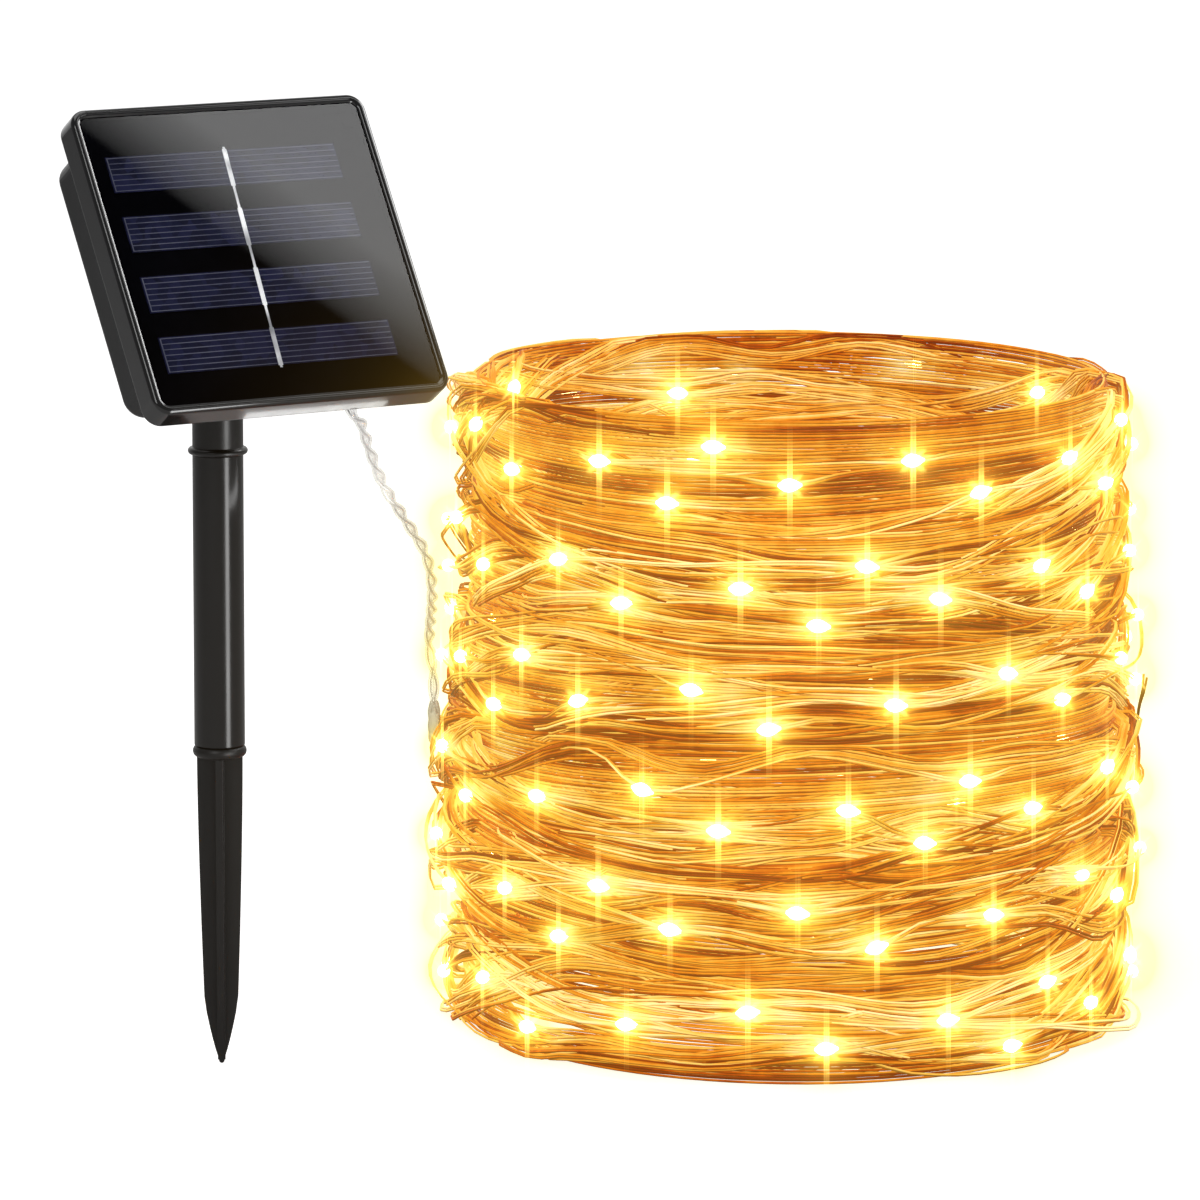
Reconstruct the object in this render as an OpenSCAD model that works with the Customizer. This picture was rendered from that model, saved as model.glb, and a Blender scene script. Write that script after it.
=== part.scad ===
// Solar string lights: a tilting solar panel head on a ground stake, with a clear
// twisted lead that runs to a tall coil of fine copper wire and small LEDs.
// Origin: tip of the ground spike. +Z up the stake. The panel faces -Y and tilts about X.

/* [Panel head] */
// Width and height of the square front frame
panel_size = 103.5; // [90:0.5:120]
// Corner radius of the front frame
frame_corner = 5.5; // [4:0.5:8]
// Depth of the front frame
frame_depth = 9.4; // [8.5:0.1:12]
// Radius of the rounded lip round the cover
lip_r = 1.5; // [1:0.1:2]
// Lean of the panel back from upright
panel_tilt = 33; // [8:1:90]

/* [Rear housing] */
// Width of the rear housing
box_w = 96; // [86:0.5:98]
// Height of the rear housing
box_h = 87; // [80:0.5:92]
// Height of the housing's centre above the panel's centre
box_rise = 1.5; // [0:0.5:3]
// Depth from the front lip to the housing's back wall
head_depth = 27; // [26:0.5:32]
// Wall thickness of the housing
wall = 2; // [1.6:0.1:2.4]

/* [Solar cells] */
// Number of cell strips
cell_count = 4; // [2:1:4]
// Length of one strip
cell_w = 80.5; // [70:0.5:84]
// Height of one strip
cell_h = 12.2; // [10:0.1:14]
// Distance from one strip to the next
cell_pitch = 20.5; // [18:0.5:22]
// Number of printed finger lines on a strip
finger_count = 7; // [4:1:10]

/* [Tilt hinge] */
// Height of the tilt axis above the spike's tip
hinge_z = 244.4; // [240:0.1:260]
// Distance from the front lip back to the tilt axis
hinge_back = 34.7; // [34:0.1:40]
// Outer radius of the hinge ears and tongue
ear_r = 6.5; // [6:0.1:7]
// Thickness of the tongue between the ears
tongue_w = 7; // [6:0.5:8]
// Thickness of each ear
ear_t = 4; // [3:0.5:5]
// Diameter of the hinge bolt
bolt_d = 4; // [3:0.5:5]

/* [Stake] */
// Outside diameter of the stake tube
tube_d = 16; // [14:0.5:20]
// Bore of the stake tube
tube_bore = 13; // [11:0.1:13.4]
// Height of the tube's top above the spike's tip
tube_top = 196; // [180:1:200]
// Height of the tube's bottom above the spike's tip
tube_foot = 103.5; // [95:0.5:110]
// Depth to which each plug enters the tube
plug_len = 30; // [20:1:40]
// Width of the spike's blades at the collar
blade_w = 14.4; // [12:0.1:15]
// Thickness of the spike's blades
blade_t = 2.4; // [2:0.1:3]

/* [Wire coil] */
// Distance of the coil's axis to the right of the stake
coil_x = 197; // [190:1:260]
// Distance of the coil's axis behind the stake's front
coil_y = -27.5; // [-60:0.5:0]
// Height of the whole coil
coil_h = 210; // [180:1:240]
// Thickness of the coil's wall
coil_wall = 13.3; // [8:0.1:20]
// Outer radius of each hank, from the bottom up
hank_r = [112, 113.5, 113.5, 111.5, 110, 108.5]; // [105:0.5:120]
// Number of LEDs round the outside of each hank
leds_per_hank = 24; // [4:1:24]
// Number of LEDs round the inside of each hank
inner_leds = 6; // [1:1:12]
// Radius of one clear LED drop
bead_r = 1.8; // [1.4:0.1:2.4]

/* [Lead] */
// Diameter of the twisted lead
lead_d = 3.4; // [2.4:0.1:4]
// Distance of the cable gland to the right of the panel's centre
gland_x = 22; // [10:1:30]

/* [Hidden] */
$fn = 64;
hull_fn = 32;

// Small gap between pieces that touch, and radial gap of a running fit
gap = 0.05;
// Overcut that keeps cutting faces apart
cut = 0.5;

// Depths below the front of the lip
recess_depth = 4;
frame_floor = 2;
cover_top = 0.9;
cover_t = 1;
ribbon_top = cover_top + cover_t + gap;
ribbon_t = 0.15;
grid_top = ribbon_top + ribbon_t + gap;
grid_t = 0.06;
cell_top = grid_top + grid_t + 0.01;
cell_t = 0.3;
backing_top = cell_top + cell_t + 0.02;
floor_back = recess_depth + frame_floor;
back_wall = head_depth - wall;

// Front recess
opening = panel_size - 4 * lip_r;
opening_corner = frame_corner - 2 * lip_r;
cell_shift_x = -2.8;
cell_shift_z = -1;
ribbon_skew = 2.2;

// Housing screws and columns
column_x = 39;
column_z = 34.5;
column_r = 5.2;
screw_seat = 16;
screw_r = 1.25;
screw_head_r = 2.7;

// Cavity that the housing's rim sits in
rim_inset = 2;
rim_front = floor_back + 1.1;

// Circuit board and buttons
board_w = 58;
board_h = 30;
board_z = 24;
board_front = 14;
board_t = 1.6;
post_x = board_w / 2 - 5;
post_z = board_z + 10;
button_x = 20;
button_r = 4;
button_travel = 1;
button_flange_t = 1.2;
button_stem = 1.6;
button_in = back_wall - gap - button_flange_t - button_stem;
switch_h = 3.5;

// Battery
battery_z = -22;
battery_depth = 16.2;
battery_r = 7.1;
battery_len = 48.5;
contact_x = 28.75;

// Hinge
ear_gap = 0.1;
ear_in = tongue_w / 2 + ear_gap;
ear_out = ear_in + ear_t;
bolt_hole_r = bolt_d / 2 + gap;
knob_in = ear_out + 0.95;
knob_len = 9;
knob_r = 7.5;
flute_count = 8;

// Stake
plug_r = tube_bore / 2 - gap;
flange_r = 9.4;
flange_t = 2.2;
collar_r = 8.5;
collar_h = 4;
neck_top = hinge_z - 14;

// Coil
hank_count = len(hank_r);
hank_h = coil_h / hank_count;
hank_gap = 0.2;
hank_corner = 5;
golden = 137.508;

// Gland and lead
gland_depth = 13;
box_bottom = box_rise - box_h / 2;
stub_end = box_bottom - 7;
stub_straight = 2.5;
lead_end_angle = 151.2;
lead_end_r = max(hank_r) + 2.4;
lead_end_z = 103;
splice_r = 2;
splice_len = 14;
splice_top = lead_end_z - 0.3;

// Cut end of the string
string_end_angle = -28;
string_end_foot = 86;
string_end_top = 109;

// ---- Helpers ----

// Places its children, drawn round the tilt axis, at the head's lean
module on_head() {
    translate([0, 0, hinge_z])
        rotate([-panel_tilt, 0, 0])
            children();
}

// Extrudes a face outline from depth a to depth b behind the lip
module slab(a, b) {
    translate([0, b - hinge_back, 0])
        rotate([90, 0, 0])
            linear_extrude(b - a)
                children();
}

// A round bar of radius r from depth a to depth b
module bar(x, z, a, b, r) {
    translate([x, b - hinge_back, z])
        rotate([90, 0, 0])
            cylinder(h = b - a, r = r);
}

// A box from depth a to depth b, centred at x and z
module brick(x, z, a, b, w, h) {
    translate([x - w / 2, a - hinge_back, z - h / 2])
        cube([w, b - a, h]);
}

// A rectangle with true round corners
module round_rect(w, h, r) {
    square([w - 2 * r, h], center = true);
    square([w, h - 2 * r], center = true);
    for (sx = [-1, 1], sy = [-1, 1])
        translate([sx * (w / 2 - r), sy * (h / 2 - r)])
            circle(r);
}

// A point of the head given as right, depth behind the lip and up, in the part's frame
function from_head(p) =
    let (back = p[1] - hinge_back)
    [
        p[0],
        cos(panel_tilt) * back + sin(panel_tilt) * p[2],
        hinge_z - sin(panel_tilt) * back + cos(panel_tilt) * p[2]
    ];

// A point of the coil at an angle from +X, a radius and a height
function on_coil(angle, r, z) = [coil_x + r * cos(angle), coil_y + r * sin(angle), z];

// Point at u from 0 to 1 on the smooth curve from b to c, with neighbours a and d
function spline(a, b, c, d, u) =
    0.5 * (2 * b + (c - a) * u + (2 * a - 5 * b + 4 * c - d) * u * u
        + (3 * b - a - 3 * c + d) * u * u * u);

// A smooth path through points, with steps on each stretch
function smooth_path(points, steps) =
    let (last = len(points) - 1)
    [
        for (i = [0:last - 1], s = [0:steps - 1])
            spline(points[max(i - 1, 0)], points[i], points[i + 1],
                points[min(i + 2, last)], s / steps),
        points[last]
    ];

function unit(v) = v / norm(v);

// Direction of a path at point i
function path_dir(path, i) =
    unit(path[min(i + 1, len(path) - 1)] - path[max(i - 1, 0)]);

// A round cord of radius r along a path, drawn with flat sides
module cord(path, r, sides = 10) {
    count = len(path);
    rings = [
        for (i = [0:count - 1])
            let (
                dir = path_dir(path, i),
                side = unit(cross(dir, abs(dir[1]) < 0.8 ? [0, 1, 0] : [1, 0, 0])),
                up = cross(side, dir)
            )
            for (k = [0:sides - 1])
                path[i] + r * (cos(360 * k / sides) * side + sin(360 * k / sides) * up)
    ];
    skin = [
        for (i = [0:count - 2], k = [0:sides - 1])
            let (n = (k + 1) % sides, a = i * sides, b = a + sides)
            [a + k, b + k, b + n, a + n]
    ];
    start = [for (k = [0:sides - 1]) k];
    end = [for (k = [sides - 1:-1:0]) (count - 1) * sides + k];
    polyhedron(points = rings, faces = concat(skin, [start], [end]), convexity = 10);
}

// ---- Panel face ----

// Rounded lip: a round bar bent round the frame's edge
module lip() {
    inner = panel_size / 2 - frame_corner;
    ring_r = frame_corner - lip_r;
    edge = inner + ring_r;
    translate([0, lip_r - hinge_back, 0])
        for (quarter = [0:3])
            rotate([0, 90 * quarter, 0]) {
                translate([edge, 0, -inner])
                    cylinder(h = 2 * inner, r = lip_r);
                translate([inner, 0, inner])
                    rotate([90, 0, 0])
                        rotate_extrude(angle = 90)
                            translate([ring_r, 0])
                                circle(lip_r);
            }
}

module front_frame() {
    color([0.03, 0.03, 0.035])
        on_head() {
            difference() {
                union() {
                    slab(lip_r, frame_depth)
                        round_rect(panel_size, panel_size, frame_corner);
                    lip();
                }
                slab(-cut, recess_depth)
                    round_rect(opening, opening, opening_corner);
                slab(floor_back, frame_depth + cut)
                    translate([0, box_rise])
                        round_rect(box_w - 2 * rim_inset + 0.4, box_h - 2 * rim_inset + 0.4, 4.2);
                bar(0, 4, recess_depth - cut, floor_back + cut, 3.5);
                for (sx = [-1, 1], sz = [-1, 1])
                    bar(sx * column_x, box_rise + sz * column_z, recess_depth + 0.6,
                        floor_back + cut, screw_r + gap);
            }
            for (sx = [-1, 1], sz = [-1, 1])
                frame_boss(sx * column_x, box_rise + sz * column_z);
        }
}

// Boss behind the frame's floor that a housing screw bites into
module frame_boss(x, z) {
    difference() {
        bar(x, z, floor_back, frame_depth, 3.5);
        bar(x, z, floor_back - cut, frame_depth + cut, screw_r + gap);
    }
}

module panel_cover() {
    color([0.8, 0.85, 0.9, 0.35])
        on_head()
            slab(cover_top, cover_top + cover_t)
                round_rect(opening - 0.2, opening - 0.2, opening_corner - 0.1);
}

// Height of strip i's centre, from the bottom up
function cell_z(i) = cell_shift_z + (i - (cell_count - 1) / 2) * cell_pitch;

module solar_cells() {
    color([0.05, 0.06, 0.2])
        on_head()
            for (i = [0:cell_count - 1])
                brick(cell_shift_x, cell_z(i), cell_top, cell_top + cell_t, cell_w, cell_h);
}

module cell_gridlines() {
    line_w = 0.28;
    reach = cell_h / 2 - 0.5;
    color([0.75, 0.77, 0.85])
        on_head()
            for (i = [0:cell_count - 1]) {
                for (k = [0:finger_count - 1])
                    brick(cell_shift_x, cell_z(i) - reach + 2 * reach * k / (finger_count - 1),
                        grid_top, grid_top + grid_t, cell_w - 0.8, line_w);
                brick(cell_shift_x - cell_w / 2 + 0.6, cell_z(i), grid_top, grid_top + grid_t,
                    0.4, 2 * reach + line_w);
            }
}

// Ribbon that is wide over each strip and narrow between strips
module cell_ribbon() {
    wide = 1.5;
    narrow = 0.8;
    span = (cell_count - 1) * cell_pitch + cell_h + 2;
    color([0.9, 0.9, 0.92])
        on_head()
            translate([cell_shift_x, 0, cell_shift_z])
                rotate([0, ribbon_skew, 0])
                    union() {
                        brick(0, 0, ribbon_top, ribbon_top + ribbon_t, narrow, span);
                        for (i = [0:cell_count - 1])
                            brick(0, cell_z(i) - cell_shift_z, ribbon_top,
                                ribbon_top + ribbon_t, wide, cell_h + 0.6);
                    }
}

module cell_backing() {
    color([0.04, 0.04, 0.05])
        on_head()
            difference() {
                slab(backing_top, recess_depth - gap)
                    round_rect(opening - 0.2, opening - 0.2, opening_corner - 0.1);
                bar(-1.5, 4, backing_top - cut, recess_depth + cut, 0.7);
                bar(1.5, 4, backing_top - cut, recess_depth + cut, 0.7);
            }
}

// ---- Housing ----

module housing_seal() {
    w = box_w - 2 * rim_inset;
    h = box_h - 2 * rim_inset;
    color([0.2, 0.2, 0.2])
        on_head()
            slab(floor_back + gap, rim_front - gap)
                translate([0, box_rise])
                    difference() {
                        round_rect(w, h, 4);
                        round_rect(w - 4.4, h - 4.4, 2.6);
                    }
}

// Outside of the box: straight walls that round over into the back wall
module box_shell() {
    corner = 6.5;
    round_over = 3;
    hull()
        for (sx = [-1, 1], sz = [-1, 1])
            translate([sx * (box_w / 2 - corner), 0, box_rise + sz * (box_h / 2 - corner)]) {
                bar(0, 0, frame_depth + gap, head_depth - round_over, corner, $fn = hull_fn);
                translate([0, head_depth - round_over - hinge_back, 0])
                    rotate([90, 0, 0])
                        rotate_extrude($fn = hull_fn)
                            translate([corner - round_over, 0])
                                circle(round_over, $fn = hull_fn);
            }
}

module hinge_ear(side) {
    near = side > 0 ? ear_in : -ear_out;
    translate([near, 0, 0])
        rotate([0, 90, 0])
            cylinder(h = ear_t, r = ear_r);
    translate([near, back_wall + 0.4 - hinge_back, -ear_r])
        cube([ear_t, hinge_back - back_wall - 0.4, 2 * ear_r]);
}

module rear_housing() {
    rim_w = box_w - 2 * rim_inset;
    rim_h = box_h - 2 * rim_inset;
    color([0.05, 0.05, 0.055])
        on_head()
            difference() {
                union() {
                    difference() {
                        union() {
                            box_shell();
                            slab(rim_front, frame_depth + 1)
                                translate([0, box_rise])
                                    round_rect(rim_w, rim_h, 4);
                        }
                        slab(rim_front - cut, back_wall)
                            translate([0, box_rise])
                                round_rect(rim_w - 2 * wall, rim_h - 2 * wall, 3);
                    }
                    for (sx = [-1, 1], sz = [-1, 1])
                        bar(sx * column_x, box_rise + sz * column_z, frame_depth + gap,
                            back_wall + 0.5, column_r);
                    for (sx = [-1, 1])
                        bar(sx * post_x, post_z, board_front + board_t + gap,
                            back_wall + 0.5, 2.6);
                    hinge_ear(-1);
                    hinge_ear(1);
                }
                for (sx = [-1, 1], sz = [-1, 1]) {
                    bar(sx * column_x, box_rise + sz * column_z, frame_depth - 1,
                        screw_seat + cut, screw_r + 0.2);
                    bar(sx * column_x, box_rise + sz * column_z, screw_seat,
                        head_depth + cut, screw_head_r + 0.3);
                }
                for (sx = [-1, 1]) {
                    bar(sx * button_x, board_z, back_wall - cut, head_depth + cut, button_r + gap);
                    bar(sx * post_x, post_z, board_front + board_t - cut, back_wall - 2, 1.05);
                }
                translate([gland_x, gland_depth - hinge_back, box_bottom - cut])
                    cylinder(h = 2 * wall + 2 * cut + 1, r = 3.05);
                translate([-ear_out - cut, 0, 0])
                    rotate([0, 90, 0])
                        cylinder(h = 2 * ear_out + 2 * cut, r = bolt_hole_r);
            }
}

module housing_screw(x, z) {
    head_t = 1.8;
    difference() {
        union() {
            bar(x, z, recess_depth + 0.7, screw_seat + 0.3, screw_r);
            bar(x, z, screw_seat + gap, screw_seat + head_t, screw_head_r);
        }
        brick(x, z, screw_seat + head_t - 0.8, screw_seat + head_t + cut, 3.2, 0.7);
        brick(x, z, screw_seat + head_t - 0.8, screw_seat + head_t + cut, 0.7, 3.2);
    }
}

module housing_screws() {
    color([0.7, 0.7, 0.72])
        on_head()
            for (sx = [-1, 1], sz = [-1, 1])
                housing_screw(sx * column_x, box_rise + sz * column_z);
}

// ---- Inside the housing ----

module battery() {
    nub_len = 1.2;
    color([0.25, 0.5, 0.3])
        on_head()
            translate([-battery_len / 2, battery_depth - hinge_back, battery_z])
                rotate([0, 90, 0]) {
                    cylinder(h = battery_len, r = battery_r);
                    translate([0, 0, battery_len - cut])
                        cylinder(h = nub_len + cut, r = 2.7);
                }
}

module battery_holder() {
    half = 30.5;
    back = back_wall - gap;
    color([0.12, 0.12, 0.13])
        on_head() {
            brick(0, battery_z, back - 1.4, back, 2 * half, 17);
            for (sx = [-1, 1])
                brick(sx * (half - 0.75), battery_z, 9, back - 1, 1.5, 17);
            for (sz = [-1, 1])
                brick(0, battery_z + sz * 7.95, battery_depth, back - 1, 2 * half, 1.1);
        }
}

// A coil spring drawn as shrinking rings against the cell's flat end, and a plate for its nub
module battery_contacts() {
    plate = 8;
    plate_t = 0.4;
    turn_r = 0.5;
    color([0.8, 0.8, 0.82])
        on_head()
            translate([0, battery_depth - hinge_back, battery_z]) {
                for (sx = [-1, 1])
                    translate([sx * contact_x - plate_t / 2, -plate / 2, -plate / 2])
                        cube([plate_t, plate, plate]);
                for (i = [0:3])
                    translate([-contact_x + 0.75 + i * (2 * turn_r + 0.02), 0, 0])
                        rotate([0, 90, 0])
                            rotate_extrude()
                                translate([3.6 - 0.45 * i, 0])
                                    circle(turn_r);
            }
}

module circuit_board() {
    color([0.1, 0.35, 0.15])
        on_head()
            difference() {
                slab(board_front, board_front + board_t)
                    translate([0, board_z])
                        round_rect(board_w, board_h, 1.5);
                for (sx = [-1, 1])
                    bar(sx * post_x, post_z, board_front - cut, board_front + board_t + cut, 1.15);
            }
}

// Parts on the board's front side: controller chip, capacitor, coil, crystal and resistors
module board_components() {
    face = board_front - gap;
    color([0.15, 0.15, 0.16])
        on_head() {
            brick(0, board_z - 4, face - 1.6, face, 5, 4);
            bar(11, board_z + 8, face - 5.5, face, 3.1);
            bar(-11, board_z + 8, face - 4, face, 2.2);
            bar(0, board_z + 8, face - 2.4, face, 1.6);
            for (i = [0:3])
                brick(9 + 3 * i, board_z - 6, face - 0.6, face, 1.3, 2.2);
            for (i = [0:2])
                brick(-9 - 3 * i, board_z - 6, face - 0.6, face, 1.3, 2.2);
        }
}

module board_screws() {
    color([0.75, 0.75, 0.76])
        on_head()
            for (sx = [-1, 1]) {
                bar(sx * post_x, post_z, board_front - 0.5, back_wall - 3, 1);
                bar(sx * post_x, post_z, board_front - 1.6, board_front - gap, 2);
            }
}

// A push switch on the board's back side, whose plunger stops just short of the pressed button
module switch_body(x) {
    face = board_front + board_t + gap;
    on_head() {
        brick(x, board_z, face, face + switch_h, 6, 6);
        bar(x, board_z, face + switch_h - cut, button_in - button_travel - 2 * gap, 1.6);
    }
}

module power_switch() {
    color([0.2, 0.2, 0.22])
        switch_body(-button_x);
}

module mode_switch() {
    color([0.2, 0.2, 0.22])
        switch_body(button_x);
}

// A round push button held in by a flange behind the back wall
module push_button(x) {
    edge_r = 0.6;
    proud = 0.7;
    on_head() {
        bar(x, board_z, button_in, head_depth + proud, button_r);
        bar(x, board_z, back_wall - gap - button_flange_t, back_wall - gap, button_r + 1.2);
        translate([x, head_depth + proud - hinge_back, board_z])
            rotate([-90, 0, 0])
                rotate_extrude()
                    intersection() {
                        translate([button_r - edge_r, 0])
                            circle(edge_r);
                        square([button_r, edge_r]);
                    }
        bar(x, board_z, head_depth, head_depth + proud + edge_r, button_r - edge_r);
    }
}

module power_button() {
    color([0.1, 0.1, 0.11])
        push_button(-button_x);
}

module mode_button() {
    color([0.1, 0.1, 0.11])
        push_button(button_x);
}

// Wires on one side, from the cells and from a battery contact to the board
module board_wires(side) {
    wire_r = 0.55;
    at_contact = contact_x - 0.2 - wire_r - gap;
    at_board = board_front - wire_r - gap;
    pad_x = side > 0 ? -1 : -5;
    cord(smooth_path([
        from_head([side * 1.5, backing_top + 0.6, 4]),
        from_head([side * 1.5, 7.5, 4.2]),
        from_head([pad_x + 1, 10.5, 9]),
        from_head([pad_x, at_board, 13])
    ], 5), wire_r);
    cord(smooth_path([
        from_head([side * at_contact, battery_depth - 3.6, battery_z + 3.4]),
        from_head([side * 27.5, 9, -8]),
        from_head([side * 26, 9.5, 4]),
        from_head([side * 23, at_board, 12])
    ], 5), wire_r);
}

module positive_wires() {
    color([0.7, 0.05, 0.04])
        board_wires(-1);
}

module negative_wires() {
    color([0.08, 0.08, 0.08])
        board_wires(1);
}

// The lead's two cores inside the housing, from the gland up to the board
module lead_tails() {
    color([0.75, 0.75, 0.78])
        for (side = [-1, 1])
            cord(smooth_path([
                from_head([gland_x + side * 0.8, gland_depth, box_bottom + 8]),
                from_head([gland_x + side * 0.9, 8.6, box_bottom + 11]),
                from_head([gland_x + side * 1.2, 8.1, battery_z]),
                from_head([gland_x - 4 + side * 1.6, 9, 2]),
                from_head([gland_x - 7 + side * 2, board_front - 0.6, 11])
            ], 5), 0.5);
}

// Strain relief in the housing's bottom wall, drawn along the wall's own direction
module cable_gland() {
    bore_r = lead_d / 2 + 0.1;
    color([0.04, 0.04, 0.04])
        on_head()
            translate([gland_x, gland_depth - hinge_back, 0])
                difference() {
                    union() {
                        translate([0, 0, box_bottom - 1.2])
                            cylinder(h = 1.15, r = 3.5);
                        translate([0, 0, box_bottom - 1])
                            cylinder(h = 2 * wall + 1.4, r = 3);
                        translate([0, 0, box_bottom + 2 * wall + 0.3])
                            cylinder(h = 1.2, r1 = 3.7, r2 = 3);
                        translate([0, 0, stub_end])
                            cylinder(h = box_bottom - 1 - stub_end, r1 = 2.3, r2 = 2.9);
                    }
                    translate([0, 0, stub_end - cut])
                        cylinder(h = 20, r = bore_r);
                }
}

// ---- Tilt hinge ----

// Bolt through both ears and the tongue, with a domed head on the left
module hinge_bolt() {
    head_r = 4;
    head_t = 2.6;
    color([0.72, 0.72, 0.74])
        translate([0, 0, hinge_z])
            rotate([0, 90, 0])
                difference() {
                    union() {
                        translate([0, 0, -ear_out - gap - head_t])
                            cylinder(h = head_t, r1 = head_r - 0.9, r2 = head_r);
                        translate([0, 0, -ear_out - 1])
                            cylinder(h = ear_out + 1 + knob_in + knob_len - 1, r = bolt_d / 2);
                    }
                    for (turn = [0, 90])
                        rotate([0, 0, turn])
                            translate([-1.8, -0.4, -ear_out - head_t - 1])
                                cube([3.6, 0.8, 2]);
                }
}

module hinge_washer() {
    color([0.8, 0.8, 0.82])
        translate([ear_out + gap, 0, hinge_z])
            rotate([0, 90, 0])
                difference() {
                    cylinder(h = 0.8, r = 4.6);
                    translate([0, 0, -cut])
                        cylinder(h = 0.8 + 2 * cut, r = bolt_hole_r);
                }
}

// Fluted thumb nut on the bolt's right end
module hinge_knob() {
    color([0.05, 0.05, 0.055])
        translate([knob_in, 0, hinge_z])
            rotate([0, 90, 0])
                difference() {
                    union() {
                        cylinder(h = 2, r = 5);
                        translate([0, 0, 1.5])
                            cylinder(h = knob_len - 3, r = knob_r);
                        translate([0, 0, knob_len - 1.6])
                            cylinder(h = 1.6, r1 = knob_r, r2 = knob_r - 1.2);
                    }
                    translate([0, 0, -cut])
                        cylinder(h = knob_len + 2 * cut, r = bolt_hole_r);
                    for (i = [0:flute_count - 1])
                        rotate([0, 0, 360 * i / flute_count])
                            translate([knob_r + 1, 0, -cut])
                                cylinder(h = knob_len + 2 * cut, r = 2.2);
                }
}

// ---- Stake ----

// A disc of radius r and height h whose rim is a true half circle
module bead_disc(r, h) {
    cylinder(h = h, r = r - h / 2);
    translate([0, 0, h / 2])
        rotate_extrude()
            translate([r - h / 2, 0])
                circle(h / 2);
}

// Tongue, neck, thin flange and the plug that turns in the tube
module hinge_knuckle() {
    color([0.05, 0.05, 0.055])
        difference() {
            union() {
                translate([-tongue_w / 2, 0, hinge_z])
                    rotate([0, 90, 0])
                        cylinder(h = tongue_w, r = ear_r);
                translate([-tongue_w / 2, -ear_r, neck_top])
                    cube([tongue_w, 2 * ear_r, hinge_z - neck_top]);
                translate([0, 0, neck_top - 0.1])
                    cylinder(h = 3, r1 = tube_d / 2, r2 = 6);
                translate([0, 0, tube_top + 1])
                    cylinder(h = neck_top - tube_top - 1, r = tube_d / 2);
                translate([0, 0, tube_top + gap])
                    bead_disc(flange_r, flange_t);
                translate([0, 0, tube_top - plug_len])
                    cylinder(h = plug_len + 1, r = plug_r);
                translate([0, 0, tube_top - plug_len - 1.2])
                    cylinder(h = 1.2, r1 = plug_r - 1.2, r2 = plug_r);
            }
            translate([-tongue_w, 0, hinge_z])
                rotate([0, 90, 0])
                    cylinder(h = 2 * tongue_w, r = bolt_hole_r);
        }
}

module stake_tube() {
    color([0.05, 0.05, 0.055])
        translate([0, 0, tube_foot])
            difference() {
                cylinder(h = tube_top - tube_foot, r = tube_d / 2);
                translate([0, 0, -cut])
                    cylinder(h = tube_top - tube_foot + 2 * cut, r = tube_bore / 2);
            }
}

// Half width of a blade at height z: a long gentle taper, then a rounded point
function blade_half(z) =
    let (
        top = tube_foot - collar_h,
        point_z = 20,
        taper = blade_w / 2 - 1.9 * pow(1 - (z - point_z) / (top - point_z), 1.5)
    )
    z > point_z ? taper : (blade_w / 2 - 1.9) * pow(max(z, 0) / point_z, 0.72);

module blade() {
    tip_z = 1.2;
    steps = 16;
    top = tube_foot - collar_h + 1;
    levels = [for (i = [0:steps]) tip_z + (top - tip_z) * pow(i / steps, 1.6)];
    rotate([90, 0, 0])
        translate([0, 0, -blade_t / 2])
            linear_extrude(blade_t)
                polygon(concat(
                    [for (z = levels) [blade_half(min(z, top - 1)), z]],
                    [for (i = [steps:-1:0]) [-blade_half(min(levels[i], top - 1)), levels[i]]]
                ));
}

// Cross-shaped spike with a ball tip, a bead collar and the plug that enters the tube
module ground_spike() {
    tip_r = 0.9;
    collar_z = tube_foot - gap - collar_h;
    color([0.06, 0.06, 0.065])
        union() {
            for (turn = [59, 149])
                rotate([0, 0, turn])
                    blade();
            translate([0, 0, tip_r])
                sphere(tip_r);
            translate([0, 0, collar_z])
                bead_disc(collar_r, collar_h);
            translate([0, 0, tube_foot - gap - 1])
                cylinder(h = plug_len + 1, r = plug_r);
            translate([0, 0, tube_foot + plug_len - gap - 0.01])
                cylinder(h = 1.2, r1 = plug_r, r2 = plug_r - 1.2);
        }
}

// ---- Lead and coil ----

module lead_cable() {
    path = smooth_path([
        from_head([gland_x, gland_depth, box_bottom + 6.8]),
        from_head([gland_x, gland_depth, stub_end]),
        from_head([gland_x, gland_depth, stub_end - stub_straight]),
        from_head([gland_x + 5, gland_depth, stub_end - 9]) + [0, 6, 2],
        [37, -32, 196],
        [52, -20, 178],
        [70, -9, 160.5],
        [81, 5, 141],
        on_coil(lead_end_angle + 4.3, lead_end_r + 1.5, lead_end_z + 19),
        on_coil(lead_end_angle, lead_end_r + 0.3, lead_end_z + 9),
        on_coil(lead_end_angle, lead_end_r, lead_end_z)
    ], 5);
    color([0.85, 0.88, 0.9])
        cord(path, lead_d / 2, 12);
}

// Clear sleeve over the joint between the lead and the copper string
module lead_splice() {
    color([0.8, 0.8, 0.8])
        translate(on_coil(lead_end_angle, lead_end_r, splice_top - splice_len))
            cylinder(h = splice_len, r = splice_r);
}

// One hank: a closed ring with rounded edges that holds the bundle's space
module wire_hank(i) {
    low = i * hank_h + (i == 0 ? 0 : hank_gap / 2);
    high = (i + 1) * hank_h - (i == hank_count - 1 ? 0 : hank_gap / 2);
    color(i % 2 == 0 ? [0.8, 0.42, 0.1] : [0.72, 0.34, 0.08])
        translate([coil_x, coil_y, (low + high) / 2])
            rotate_extrude($fn = 128)
                translate([hank_r[i] - coil_wall / 2, 0])
                    round_rect(coil_wall, high - low, hank_corner);
}

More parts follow.
